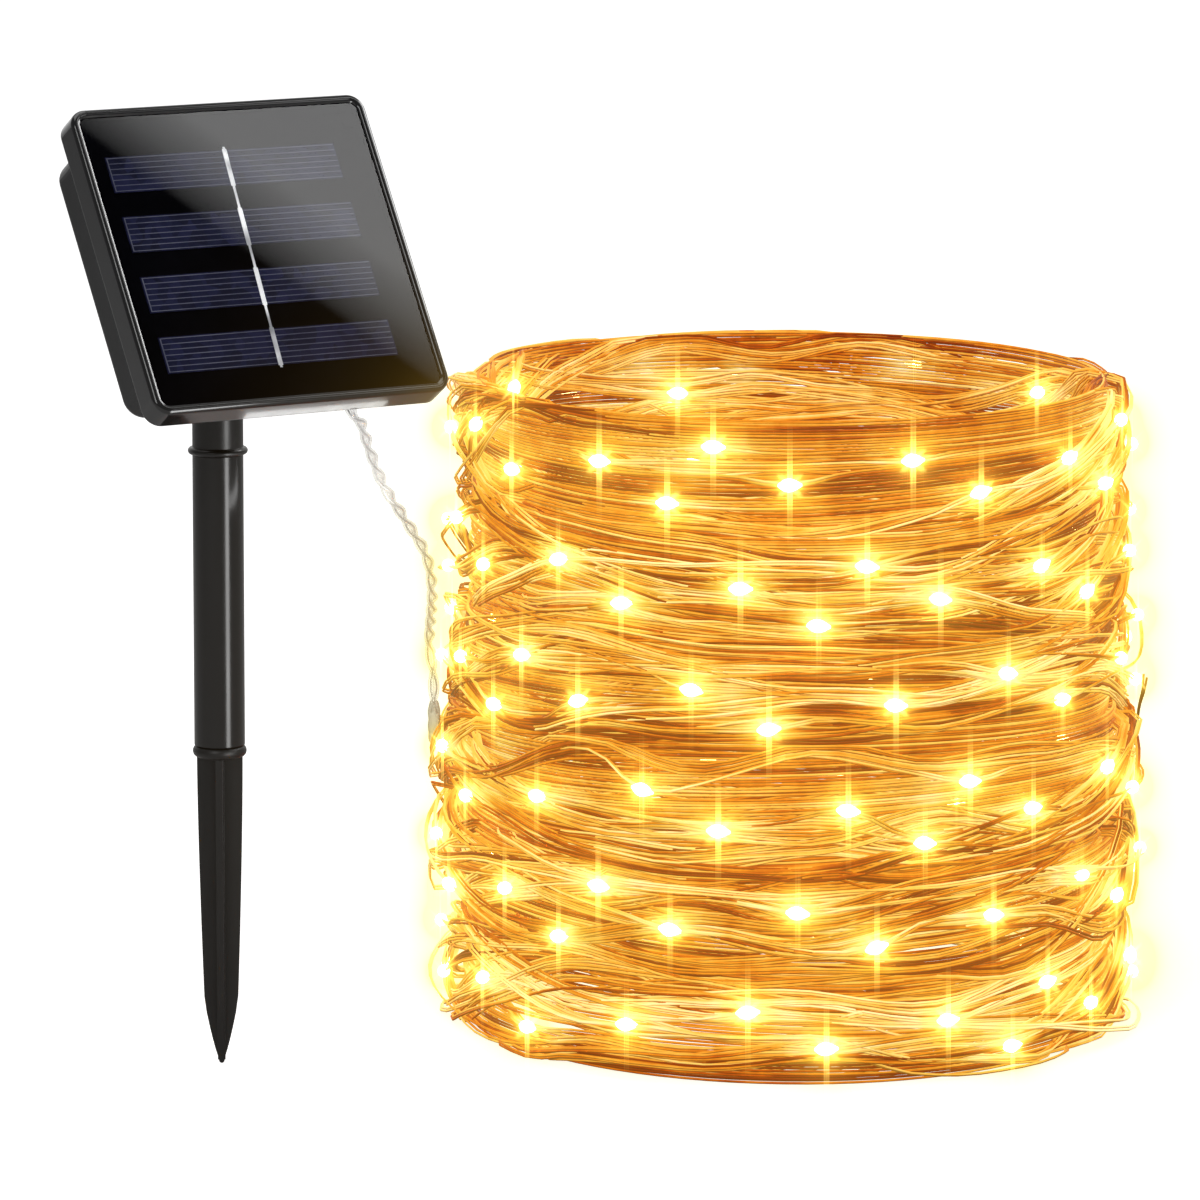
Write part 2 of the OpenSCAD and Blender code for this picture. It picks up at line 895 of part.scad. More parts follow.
// Centre of LED n, spread evenly by turns of the golden angle. With count LEDs to a hank,
// side 1 is just outside the hank and side -1 just inside it
function led_place(n, count, side) =
    let (
        hank = floor(n / count),
        step = n % count,
        span = hank_h - 2 * hank_corner - 4,
        z = hank * hank_h + hank_corner + 2 + span * (step + 0.5) / count,
        face = side > 0 ? hank_r[hank] : hank_r[hank] - coil_wall
    )
    on_coil(golden * n, face + side * (bead_r + gap), z);

// True if a point is well away from a strip that runs up the coil's side
function clear_of(p, angle, low, high) =
    let (strip = on_coil(angle, lead_end_r, p[2]))
    norm(p - strip) > bead_r + 4 || p[2] < low - 5 || p[2] > high + 5;

// Angle and centre of each LED that stays clear of the splice and the string's cut end
led_spots = [
    for (side = [1, -1], n = [0:hank_count * (side > 0 ? leds_per_hank : inner_leds) - 1])
        let (p = led_place(n, side > 0 ? leds_per_hank : inner_leds, side))
        if (clear_of(p, lead_end_angle, splice_top - splice_len, lead_end_z + 25)
            && clear_of(p, string_end_angle, string_end_foot, string_end_top))
            [golden * n, p]
];

module led_beads() {
    color([1, 0.85, 0.5, 0.6])
        for (spot = led_spots)
            translate(spot[1])
                rotate([0, 0, spot[0]])
                    difference() {
                        sphere(bead_r);
                        cube([0.9, 1.7, 1], center = true);
                    }
}

module led_chips() {
    color([1, 0.95, 0.7])
        for (spot = led_spots)
            translate(spot[1])
                rotate([0, 0, spot[0]])
                    cube([0.8, 1.6, 0.9], center = true);
}

// The string's cut end: two wires that leave the coil together and spread apart
module string_end() {
    angle = string_end_angle;
    r = hank_r[2] + 0.9;
    wire_r = 0.4;
    color([0.25, 0.12, 0.06])
        for (side = [-1, 1])
            cord(smooth_path([
                on_coil(angle + side * 0.3, r, string_end_foot),
                on_coil(angle + side * 0.3, r + 1.2, 98),
                on_coil(angle + side * 0.8, r + 2.6, 104),
                on_coil(angle + side * 1.6, r + 3.2, string_end_top)
            ], 4), wire_r, 8);
}

front_frame();
panel_cover();
cell_ribbon();
cell_gridlines();
solar_cells();
cell_backing();
housing_seal();
rear_housing();
housing_screws();
battery();
battery_holder();
battery_contacts();
circuit_board();
board_components();
board_screws();
power_switch();
mode_switch();
power_button();
mode_button();
positive_wires();
negative_wires();
lead_tails();
cable_gland();
hinge_bolt();
hinge_washer();
hinge_knob();
hinge_knuckle();
stake_tube();
ground_spike();
lead_cable();
lead_splice();
wire_hank(0);  // wire_hank_1
wire_hank(1);  // wire_hank_2
wire_hank(2);  // wire_hank_3
wire_hank(3);  // wire_hank_4
wire_hank(4);  // wire_hank_5
wire_hank(5);  // wire_hank_6
led_beads();
led_chips();
string_end();
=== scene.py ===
"""Looks of the solar string lights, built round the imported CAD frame."""

import math

import bpy
import numpy as np
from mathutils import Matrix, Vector


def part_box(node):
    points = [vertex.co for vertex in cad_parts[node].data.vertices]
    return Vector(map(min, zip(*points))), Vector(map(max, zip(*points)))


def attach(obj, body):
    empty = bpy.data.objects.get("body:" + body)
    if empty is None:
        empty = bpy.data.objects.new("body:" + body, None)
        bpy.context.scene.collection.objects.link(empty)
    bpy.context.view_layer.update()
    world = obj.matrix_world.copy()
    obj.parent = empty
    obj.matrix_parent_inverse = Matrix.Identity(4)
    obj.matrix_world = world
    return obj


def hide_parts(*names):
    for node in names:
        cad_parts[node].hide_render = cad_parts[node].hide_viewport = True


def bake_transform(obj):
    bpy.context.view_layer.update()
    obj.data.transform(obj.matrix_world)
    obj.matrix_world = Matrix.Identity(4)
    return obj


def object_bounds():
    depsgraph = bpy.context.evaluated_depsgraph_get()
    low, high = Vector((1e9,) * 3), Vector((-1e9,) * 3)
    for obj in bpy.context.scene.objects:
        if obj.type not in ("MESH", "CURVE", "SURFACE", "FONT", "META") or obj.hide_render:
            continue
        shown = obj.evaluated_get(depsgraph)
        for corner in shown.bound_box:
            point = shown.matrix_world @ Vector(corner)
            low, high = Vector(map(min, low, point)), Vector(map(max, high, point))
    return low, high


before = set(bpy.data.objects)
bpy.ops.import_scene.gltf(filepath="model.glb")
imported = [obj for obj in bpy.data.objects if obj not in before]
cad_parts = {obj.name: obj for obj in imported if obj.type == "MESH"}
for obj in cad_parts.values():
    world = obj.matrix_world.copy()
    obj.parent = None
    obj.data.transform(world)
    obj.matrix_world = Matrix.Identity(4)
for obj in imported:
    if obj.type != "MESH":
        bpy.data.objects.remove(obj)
cad_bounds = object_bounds()
rng = np.random.default_rng(11)

MM = 0.001
GOLDEN_SHARE = 0.6180339887
WHITE = 1, 1, 1, 1


# ---- Places taken from the frame ----

def middle(node):
    """Centre of a CAD node's box."""
    low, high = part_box(node)
    return (low + high) / 2


def solid_centres(node, reach):
    """Centres of a node's small separate solids; reach is more than one's size."""
    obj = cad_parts[node]
    points = np.array([obj.matrix_world @ v.co for v in obj.data.vertices])
    centres = []
    while len(points):
        near = np.linalg.norm(points - points[0], axis=1) < reach
        group = points[near]
        centres.append((group.min(axis=0) + group.max(axis=0)) / 2)
        points = points[~near]
    return centres


class Hank:
    """The room that one hank of the coil takes up."""

    def __init__(self, node):
        low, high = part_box(node)
        self.node = node
        self.radius = (high.x - low.x) / 2
        self.z = (low.z + high.z) / 2
        self.half_h = (high.z - low.z) / 2


HANKS = [Hank(f"wire_hank_{i}") for i in range(1, 7)]
COIL = middle("wire_hank_1")
COIL_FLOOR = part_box("wire_hank_1")[0].z
COIL_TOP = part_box("wire_hank_6")[1].z
# Thickness of the coil's wall, from its inner to its outer face
COIL_WALL = 13.3 * MM
LED_PLACES = solid_centres("led_chips", 3 * MM)

# The panel face leans back from upright by this angle
LEAN = math.radians(33)
FACE_UP = Vector((0, math.sin(LEAN), math.cos(LEAN)))
FACE_OUT = Vector((0, -math.cos(LEAN), math.sin(LEAN)))
RIGHT = Vector((1, 0, 0))
PANEL_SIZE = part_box("front_frame")[1].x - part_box("front_frame")[0].x

# The side of the coil that faces the camera
FRONT_ANGLE = math.radians(239)


# ---- Node helpers ----

def new_material(name):
    """An empty node material and its tree."""
    mat = bpy.data.materials.new(name)
    mat.use_nodes = True
    mat.node_tree.nodes.clear()
    return mat, mat.node_tree


def add(tree, kind, **values):
    """A node of a kind, with inputs given by name."""
    node = tree.nodes.new(kind)
    for key, value in values.items():
        node.inputs[key.replace("_", " ")].default_value = value
    return node


def principled(tree, **values):
    """A Principled shader joined to the output."""
    bsdf = add(tree, "ShaderNodeBsdfPrincipled", **values)
    out = tree.nodes.new("ShaderNodeOutputMaterial")
    tree.links.new(bsdf.outputs[0], out.inputs["Surface"])
    return bsdf


def noise(tree, scale, detail=4.0, roughness=0.6, stretch=(1, 1, 1)):
    """Noise in the object's own coordinates, stretched along an axis."""
    coords = tree.nodes.new("ShaderNodeTexCoord")
    mapping = add(tree, "ShaderNodeMapping", Scale=stretch)
    tex = add(tree, "ShaderNodeTexNoise", Scale=scale, Detail=detail, Roughness=roughness)
    tree.links.new(coords.outputs["Object"], mapping.inputs["Vector"])
    tree.links.new(mapping.outputs["Vector"], tex.inputs["Vector"])
    return tex.outputs["Fac"]


def attribute(tree, name):
    """A number that the mesh holds for each of its points."""
    node = tree.nodes.new("ShaderNodeAttribute")
    node.attribute_name = name
    return node.outputs["Fac"]


def ramp(tree, value, stops):
    """A colour ramp over a value; stops are (place, colour)."""
    node = tree.nodes.new("ShaderNodeValToRGB")
    elements = node.color_ramp.elements
    for element, (place, colour) in zip(elements, (stops[0], stops[-1])):
        element.position = place
        element.color = (*colour, 1)
    for place, colour in stops[1:-1]:
        elements.new(place).color = (*colour, 1)
    tree.links.new(value, node.inputs["Fac"])
    return node.outputs["Color"]


def remap(tree, value, low, high, start=0.0, end=1.0):
    """Maps start..end to low..high."""
    node = add(tree, "ShaderNodeMapRange", From_Min=start, From_Max=end, To_Min=low, To_Max=high)
    tree.links.new(value, node.inputs["Value"])
    return node.outputs["Result"]


def combine(tree, operation, *values):
    """A maths node over numbers and other nodes' outputs."""
    node = tree.nodes.new("ShaderNodeMath")
    node.operation = operation
    for socket, value in zip(node.inputs, values):
        if isinstance(value, (int, float)):
            socket.default_value = value
        else:
            tree.links.new(value, socket)
    return node.outputs[0]


def bump(tree, height, strength, distance):
    """A normal roughened by a height."""
    node = add(tree, "ShaderNodeBump", Strength=strength, Distance=distance)
    tree.links.new(height, node.inputs["Height"])
    return node.outputs["Normal"]


# ---- Materials ----

# Painted light: the glow given off by the wires, as a share of their colour
PAINTED_WIRE_GLOW = 0.87
# Light given off by the resin drops and by the chips inside them
RESIN_LIGHT = 12.0
CHIP_LIGHT = 150.0
# Black plastics: the darker and the lighter colour of their mottling
DEEP_BLACK = (0.002, 0.002, 0.0022), (0.004, 0.004, 0.0045)
SATIN_BLACK = (0.003, 0.003, 0.0033), (0.007, 0.007, 0.0075)
SPIKE_BLACK = (0.003, 0.003, 0.0033), (0.006, 0.006, 0.0065)
TUBE_BLACK = (0.003, 0.003, 0.0034), (0.006, 0.006, 0.0068)
BACKING_BLACK = (0.002, 0.002, 0.003), (0.004, 0.004, 0.006)


def plastic(name, dark, light, rough, grain=900.0, grain_depth=0.02, coat=0.0, specular=0.5,
            rounding=0.0):
    """Moulded plastic: faint mottling, uneven gloss, a fine grain and softened edges."""
    mat, tree = new_material(name)
    bsdf = principled(tree, Coat_Weight=coat, Coat_Roughness=0.05, Specular_IOR_Level=specular)
    mottle = noise(tree, 45.0, 5.0)
    scuff = noise(tree, 160.0, 6.0, 0.7, (1, 1, 0.25))
    tree.links.new(ramp(tree, mottle, [(0.3, dark), (0.72, light)]), bsdf.inputs["Base Color"])
    tree.links.new(remap(tree, scuff, *rough, 0.3, 0.7), bsdf.inputs["Roughness"])
    texture = bump(tree, noise(tree, grain, 3.0), 0.25, grain_depth * MM)
    if rounding:
        edge = add(tree, "ShaderNodeBevel", Radius=rounding * MM)
        edge.samples = 8
        tree.links.new(edge.outputs["Normal"], texture.node.inputs["Normal"])
    tree.links.new(texture, bsdf.inputs["Normal"])
    return mat


def metal(name, dark, light, rough, stretch=(1, 1, 1)):
    """Plated or drawn metal with brushed streaks."""
    mat, tree = new_material(name)
    bsdf = principled(tree, Metallic=1.0)
    streak = noise(tree, 220.0, 6.0, 0.65, stretch)
    tree.links.new(ramp(tree, streak, [(0.25, dark), (0.8, light)]), bsdf.inputs["Base Color"])
    tree.links.new(remap(tree, streak, *rough), bsdf.inputs["Roughness"])
    return mat


def clear_film(name, tint, alpha_face, alpha_edge, rough, lit=0.0):
    """Clear soft plastic: nearly invisible face on, milky where it turns away."""
    mat, tree = new_material(name)
    # lit sets painted light: a white glow that lightens the film
    bsdf = principled(tree, Roughness=rough, IOR=1.45, Emission_Strength=lit)
    bsdf.inputs["Emission Color"].default_value = WHITE
    haze = noise(tree, 120.0, 3.0)
    low = tuple(0.8 * c for c in tint)
    tree.links.new(ramp(tree, haze, [(0.3, low), (0.7, tint)]), bsdf.inputs["Base Color"])
    facing = add(tree, "ShaderNodeLayerWeight", Blend=0.4)
    tree.links.new(remap(tree, facing.outputs["Facing"], alpha_face, alpha_edge),
                   bsdf.inputs["Alpha"])
    return mat


def cover_material():
    """Clear cover over the cells: lets nearly all light through and mirrors the room faintly."""
    mat, tree = new_material("cover_clear")
    through = add(tree, "ShaderNodeBsdfTransparent", Color=(0.96, 0.965, 0.97, 1))
    mirror = add(tree, "ShaderNodeBsdfGlossy", Color=WHITE)
    tree.links.new(remap(tree, noise(tree, 26.0, 4.0), 0.01, 0.03), mirror.inputs["Roughness"])
    fresnel = add(tree, "ShaderNodeFresnel", IOR=1.5)
    side = tree.nodes.new("ShaderNodeNewGeometry")
    outer = combine(tree, "SUBTRACT", 1.0, side.outputs["Backfacing"])
    mix = tree.nodes.new("ShaderNodeMixShader")
    out = tree.nodes.new("ShaderNodeOutputMaterial")
    tree.links.new(combine(tree, "MULTIPLY", fresnel.outputs[0], outer), mix.inputs[0])
    tree.links.new(through.outputs[0], mix.inputs[1])
    tree.links.new(mirror.outputs[0], mix.inputs[2])
    tree.links.new(mix.outputs[0], out.inputs["Surface"])
    return mat


def ribbon_material():
    """Solder-coated ribbon with painted highlights: patches of it glow white where it crosses each
    cell.
    """
    mat, tree = new_material("ribbon_silver")
    bsdf = principled(tree, Roughness=0.4)
    painted_glint = noise(tree, 70.0, 2.0)
    # Painted highlight: the same patches turn whiter and glow, as light caught by the solder
    bright = ramp(tree, painted_glint, [(0.36, (0.42, 0.42, 0.45)), (0.62, (1, 1, 1))])
    tree.links.new(bright, bsdf.inputs["Base Color"])
    tree.links.new(bright, bsdf.inputs["Emission Color"])
    tree.links.new(remap(tree, painted_glint, 0.02, 0.5, 0.38, 0.62), bsdf.inputs["Emission Strength"])
    return mat


def cell_material():
    """Dark blue silicon with faint crystal patches."""
    mat, tree = new_material("cell_blue")
    bsdf = principled(tree, Roughness=0.5, IOR=1.2)
    coords = tree.nodes.new("ShaderNodeTexCoord")
    crystals = add(tree, "ShaderNodeTexVoronoi", Scale=260.0)
    tree.links.new(coords.outputs["Object"], crystals.inputs["Vector"])
    patch = tree.nodes.new("ShaderNodeSeparateColor")
    tree.links.new(crystals.outputs["Color"], patch.inputs["Color"])
    tree.links.new(ramp(tree, patch.outputs[0], [
        (0.0, (0.004, 0.005, 0.026)), (0.5, (0.008, 0.010, 0.045)), (1.0, (0.016, 0.018, 0.07)),
    ]), bsdf.inputs["Base Color"])
    return mat


def wire_material():
    """Enamelled copper wire that glows with painted light. Each strand has painted shade
    underneath, deep orange painted shade inside the bundle and a painted yellow glow near a lit
    LED."""
    mat, tree = new_material("copper_wire")
    bsdf = principled(tree, Metallic=0.12, Specular_IOR_Level=0.03)
    mottle = noise(tree, 90.0, 4.0)
    shade = combine(tree, "MULTIPLY_ADD", combine(tree, "SUBTRACT", mottle, 0.5), 0.5,
                    attribute(tree, "tone"))
    warmth = combine(tree, "ADD", shade, attribute(tree, "glow"))
    # Base colour follows the tone, which holds painted shade and painted light
    tree.links.new(ramp(tree, shade, [
        (0.0, (0.16, 0.018, 0.001)), (0.35, (0.42, 0.08, 0.003)),
        (0.7, (0.66, 0.24, 0.02)), (1.0, (0.8, 0.46, 0.1)),
    ]), bsdf.inputs["Base Color"])
    tree.links.new(remap(tree, mottle, 0.28, 0.5), bsdf.inputs["Roughness"])
    # Painted light: the colour of the wires' glow, from their tone and the LEDs' painted light
    tree.links.new(ramp(tree, warmth, [
        (0.0, (0.22, 0.022, 0.001)), (0.12, (0.52, 0.085, 0.003)), (0.28, (0.74, 0.26, 0.014)),
        (0.42, (0.84, 0.46, 0.06)), (0.58, (0.91, 0.68, 0.17)), (0.8, (0.98, 0.88, 0.42)),
        (1.0, (1.0, 0.96, 0.66)),
    ]), bsdf.inputs["Emission Color"])
    # Painted shade: the glow dims on each strand's underside, as if lit from above, except where
    # an LED's painted light falls
    normal = tree.nodes.new("ShaderNodeSeparateXYZ")
    tree.links.new(tree.nodes.new("ShaderNodeNewGeometry").outputs["Normal"], normal.inputs[0])
    lit = remap(tree, normal.outputs["Z"], 0.12, 1.0, -0.75, 0.15)
    lit = combine(tree, "MAXIMUM", lit, attribute(tree, "glow"))
    tree.links.new(combine(tree, "MULTIPLY", lit, PAINTED_WIRE_GLOW), bsdf.inputs["Emission Strength"])
    return mat


def resin_material():
    """Clear resin drop lit from inside by its chip."""
    mat, tree = new_material("led_resin")
    bsdf = principled(tree, Roughness=0.12, Alpha=0.7, Emission_Strength=RESIN_LIGHT)
    swirl = noise(tree, 400.0, 2.0)
    warm = ramp(tree, swirl, [(0.3, (1.0, 0.66, 0.24)), (0.7, (1.0, 0.8, 0.42))])
    tree.links.new(warm, bsdf.inputs["Base Color"])
    tree.links.new(warm, bsdf.inputs["Emission Color"])
    return mat


def chip_material():
    """The LED chip itself, lit."""
    mat, tree = new_material("led_chip")
    bsdf = principled(tree, Roughness=0.4, Emission_Strength=CHIP_LIGHT)
    glow = noise(tree, 900.0, 2.0)
    warm = ramp(tree, glow, [(0.3, (1.0, 0.86, 0.58)), (0.7, (1.0, 0.93, 0.72))])
    tree.links.new(warm, bsdf.inputs["Base Color"])
    tree.links.new(warm, bsdf.inputs["Emission Color"])
    return mat


def board_material():
    """Green solder mask with paler copper tracks under it."""
    mat, tree = new_material("board_green")
    bsdf = principled(tree, Roughness=0.35)
    coords = tree.nodes.new("ShaderNodeTexCoord")
    tracks = add(tree, "ShaderNodeTexBrick", Scale=180.0, Color1=(0.01, 0.12, 0.04, 1),
                 Color2=(0.012, 0.15, 0.05, 1), Mortar=(0.03, 0.25, 0.09, 1))
    tree.links.new(coords.outputs["Object"], tracks.inputs["Vector"])
    tree.links.new(tracks.outputs["Color"], bsdf.inputs["Base Color"])
    return mat


def paint_nodes():
    """Gives every CAD node that stays in view its procedural material."""
    gloss = plastic("gloss_black", *DEEP_BLACK, (0.1, 0.18), grain=1500.0, grain_depth=0.004,
                    coat=0.5, rounding=0.7)
    satin = plastic("satin_black", *SATIN_BLACK, (0.26, 0.38), rounding=0.5)
    spike = plastic("spike_black", *SPIKE_BLACK, (0.34, 0.5), grain=600.0, grain_depth=0.05,
                    rounding=0.3)
    rubber = plastic("soft_rubber", (0.004, 0.004, 0.004), (0.01, 0.01, 0.01), (0.55, 0.75))
    backing = plastic("backing_black", *BACKING_BLACK, (0.5, 0.6), grain_depth=0.0,
                      specular=0.0)
    moulded = plastic("component_black", (0.012, 0.012, 0.013), (0.03, 0.03, 0.032), (0.4, 0.6))
    steel = metal("plated_steel", (0.45, 0.45, 0.47), (0.8, 0.8, 0.82), (0.2, 0.4))
    silver = plastic("silver_print", (0.10, 0.105, 0.16), (0.22, 0.225, 0.3), (0.5, 0.6),
                     specular=0.1)
    ribbon = ribbon_material()
    wrap = plastic("battery_wrap", (0.02, 0.2, 0.06), (0.03, 0.3, 0.1), (0.15, 0.3))
    red = plastic("wire_red", (0.35, 0.008, 0.006), (0.5, 0.012, 0.01), (0.3, 0.4))
    black = plastic("wire_black", (0.008, 0.008, 0.008), (0.016, 0.016, 0.016), (0.3, 0.4))
    tails = clear_film("lead_film", (0.8, 0.82, 0.85), 0.35, 0.8, 0.25)
    tube = plastic("tube_black", *TUBE_BLACK, (0.17, 0.24), rounding=0.4)
    looks = {
        "front_frame": gloss, "panel_cover": cover_material(), "cell_ribbon": ribbon,
        "cell_gridlines": silver, "solar_cells": cell_material(), "cell_backing": backing,
        "housing_seal": rubber, "rear_housing": satin, "housing_screws": steel,
        "battery": wrap, "battery_holder": moulded, "battery_contacts": steel,
        "circuit_board": board_material(), "board_components": moulded, "board_screws": steel,
        "power_switch": moulded, "mode_switch": moulded, "power_button": rubber,
        "mode_button": rubber, "positive_wires": red, "negative_wires": black,
        "lead_tails": tails, "cable_gland": rubber, "hinge_bolt": steel, "hinge_washer": steel,
        "hinge_knob": satin, "hinge_knuckle": satin, "stake_tube": tube, "ground_spike": spike,
        "string_end": metal("copper_end", (0.12, 0.03, 0.01), (0.4, 0.13, 0.03), (0.3, 0.5)),
    }
    for name, mat in looks.items():
        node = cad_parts[name]
        node.data.materials.clear()
        node.data.materials.append(mat)


# ---- Mesh helpers ----

# Name of the tubes' own texture map
BAKE_MAP = "OFBake"


def path_frames(path):
    """Unit vectors across a path that turn with it and never flip."""
    tangent = np.gradient(path, axis=0)
    tangent /= np.linalg.norm(tangent, axis=1)[:, None]
    side = np.cross(tangent, [0.0, 0.0, 1.0])
    if np.abs(tangent[:, 2]).max() > 0.9:
        side[0] = np.cross(tangent[0], [0.3, 1.0, 0.2])
        for i in range(1, len(path)):
            side[i] = side[i - 1] - tangent[i] * (side[i - 1] @ tangent[i])
            side[i] /= np.linalg.norm(side[i])
    side /= np.linalg.norm(side, axis=1)[:, None]
    return tangent, side, np.cross(side, tangent)


def tube_mesh(paths, radius, sides, row_len, values=None):
    """Round tubes along paths in one mesh. values maps a name to one number per path point.
    On the bake map each row_len steps of tube take one row, so colour follows the wire."""
    angles = np.arange(sides) * 2 * np.pi / sides
    rows_of = [math.ceil((len(path) - 1) / row_len) for path in paths]
    verts, faces, uvs, base, first_row = [], [], [], 0, 0
    for path, rows in zip(paths, rows_of):
        _, side, up = path_frames(path)
        ring = (path[:, None, :] + radius * (np.cos(angles)[:, None] * side[:, None, :]
                                             + np.sin(angles)[:, None] * up[:, None, :]))
        verts.append(ring.reshape(-1, 3))
        i, k = np.meshgrid(np.arange(len(path) - 1), np.arange(sides), indexing="ij")
        a, n = base + i * sides, (k + 1) % sides
        faces.extend(np.stack([a + k, a + n, a + n + sides, a + k + sides], -1)
                     .reshape(-1, 4).tolist())
        u = (i % row_len) / row_len
        v = first_row + i // row_len + 0.1
        across, along = 0.8 / sides, 1 / row_len
        low, high = (v + k * across) / sum(rows_of), (v + (k + 1) * across) / sum(rows_of)
        uvs.append(np.stack([u, low, u, high, u + along, high, u + along, low], -1).reshape(-1))
        last = base + (len(path) - 1) * sides
        faces.append(list(range(base + sides - 1, base - 1, -1)))
        faces.append(list(range(last, last + sides)))
        cap = np.array([[0.0, (first_row + 0.5) / sum(rows_of)]] * (2 * sides))
        uvs.append(cap.reshape(-1))
        base += len(path) * sides
        first_row += rows
    mesh = bpy.data.meshes.new("tubes")
    mesh.from_pydata(np.concatenate(verts).tolist(), [], faces)
    mesh.polygons.foreach_set("use_smooth", np.ones(len(mesh.polygons), bool))
    mesh.uv_layers.new(name=BAKE_MAP).data.foreach_set("uv", np.concatenate(uvs))
    for name, rows in (values or {}).items():
        layer = mesh.attributes.new(name, "FLOAT", "POINT")
        spread = np.concatenate([np.repeat(row, sides) for row in rows])
        layer.data.foreach_set("value", spread.astype(np.float32))
    mesh.update()
    return mesh


def lathe(profile, place, axis, sides):
    """Vertices and faces of a round solid; profile lists (distance along the axis, radius)."""
    axis = np.array(axis, float) / np.linalg.norm(axis)
    side = np.cross(axis, [0.0, 0.0, 1.0] if abs(axis[2]) < 0.9 else [1.0, 0.0, 0.0])
    side /= np.linalg.norm(side)
    up = np.cross(side, axis)
    turns = np.arange(sides) * 2 * np.pi / sides
    ring = np.cos(turns)[:, None] * side + np.sin(turns)[:, None] * up
    verts = [place + axis * along + radius * r for along, radius in profile for r in ring]
    faces = []
    for i in range(len(profile) - 1):
        for k in range(sides):
            n = (k + 1) % sides
            a, b = i * sides, (i + 1) * sides
            faces.append((a + k, b + k, b + n, a + n))
    faces.append(tuple(range(sides)))
    faces.append(tuple(reversed(range(len(verts) - sides, len(verts)))))
    return verts, faces


def join_solids(solids):
    """One smooth mesh of several (vertices, faces) solids."""
    verts, faces = [], []
    for points, loops in solids:
        faces.extend(tuple(len(verts) + i for i in loop) for loop in loops)
        verts.extend(tuple(p) for p in points)
    mesh = bpy.data.meshes.new("solids")
    mesh.from_pydata(verts, [], faces)
    mesh.polygons.foreach_set("use_smooth", np.ones(len(mesh.polygons), bool))
    mesh.update()
    return mesh


def new_piece(name, mesh, material):
    """An object for a mesh, with its material in the mesh's material slot."""
    piece = bpy.data.objects.new(name, mesh)
    bpy.context.scene.collection.objects.link(piece)
    mesh.materials.append(material)
    return piece


# ---- The wound string ----

# Path points to one turn of the string
STEPS = 84
# Each hank starts with level turns down its middle, which pass its edges by an overhang.
# The rest runs over them in loose bundles.
CORE_TURNS = 22
CORE_OVERHANG = 0.8 * MM
BUNDLES = 13
BUNDLE_TURNS = 6
TURNS = CORE_TURNS + BUNDLES * BUNDLE_TURNS
# How often a bundle's height changes in one turn, and by how much
SWAYS = 18
SWAY = 3.9 * MM
# Most that a bundle's strings spread up and down, and the share of that across the wall
SPREAD = 3.2 * MM
SPREAD_ACROSS = 0.45
# How many times a bundle winds round the core in one turn of the coil, and how likely
LAYS = [1, 2, 3, -1, -2]
LAY_ODDS = [0.3, 0.25, 0.15, 0.2, 0.1]
# How far loose loops can stand off the outer face
LOOSE_REACH = 12 * MM
# The string is two strands side by side
STRAND_R = 0.42 * MM
STRAND_GAP = 0.95 * MM
STRAND_SIDES = 4
# Room kept between the bundles' middle lines and the wall's faces
SECTION_INSET = 1.2 * MM
# Power that rounds a hank's cross-section: 1 is an ellipse, 0 a box
SECTION_POWER = 0.45
# Random shifts: pairs of a size and how many times it changes in a turn
CORE_OUT = ((1.1 * MM, 3),)
CORE_RISE = ((0.2 * MM, 4), (0.35 * MM, 14))
BUNDLE_OUT = ((0.7 * MM, 20),)
BUNDLE_RISE = ((1.5 * MM, 9), (1.2 * MM, 22))
STRAND_ROLL = ((1.4, 2.3), (1.2, 7))
STRAND_TONE = ((0.15, 1.1), (0.2, 13))
# Most that the hanks' edges rise and fall round the coil
EDGE_WAVE = 2.6 * MM
# Tones run from 0, dark red-brown, to 1, pale gold
CORE_TONE = 0.36
INNER_TONE = 0.26
BUNDLE_TONES = 0.12, 0.66
# Painted shadow: a tone this much darker on this share of the turns, as shade between wires
PAINTED_SHADOW_DROP, PAINTED_SHADOW_ODDS = 0.4, 0.2
# Reach of an LED's painted light on the wires along the coil, up and down, and through the wall
GLOW_REACH = 8.5 * MM, 4.0 * MM, 8 * MM
NEAR_GLOW, FAR_GLOW = 0.95, 0.22
# No point of the string moves this far to reach an LED
PULL_LIMIT = 0.02
# The resin drop's length and radius
DROP_LENGTH = 7.6 * MM
DROP_RADIUS = 2.1 * MM


def drift(run, per_turn):
    """A smooth random value from -1 to 1 along a run counted in turns."""
    knots = rng.uniform(-1, 1, int(run[-1] * per_turn) + 3)
    at = (run - run[0]) * per_turn
    i = at.astype(int)
    f = at - i
    f = f * f * (3 - 2 * f)
    return knots[i] * (1 - f) + knots[i + 1] * f


def wander(run, waves):
    """Several drifts added up; each wave is its size and how often it changes in a turn."""
    return sum(size * drift(run, per_turn) for size, per_turn in waves)


def section_point(share, half_w, half_h):
    """A point on a rounded box's outline, by its share of the way round from the outer face."""
    angle = np.linspace(0, 2 * np.pi, 257)
    c, s = np.cos(angle), np.sin(angle)
    out = half_w * np.sign(c) * np.abs(c) ** SECTION_POWER
    rise = half_h * np.sign(s) * np.abs(s) ** SECTION_POWER
    length = np.concatenate([[0], np.cumsum(np.hypot(np.diff(out), np.diff(rise)))])
    at = (share % 1) * length[-1]
    return np.interp(at, length, out), np.interp(at, length, rise)


def core_turns(hank, run):
    """The first turns lie one above another down the middle of the wall."""
    out = wander(run, CORE_OUT)
    rise = (hank.half_h + CORE_OVERHANG) * (2 * run / CORE_TURNS - 1)
    return out, rise + wander(run, CORE_RISE)


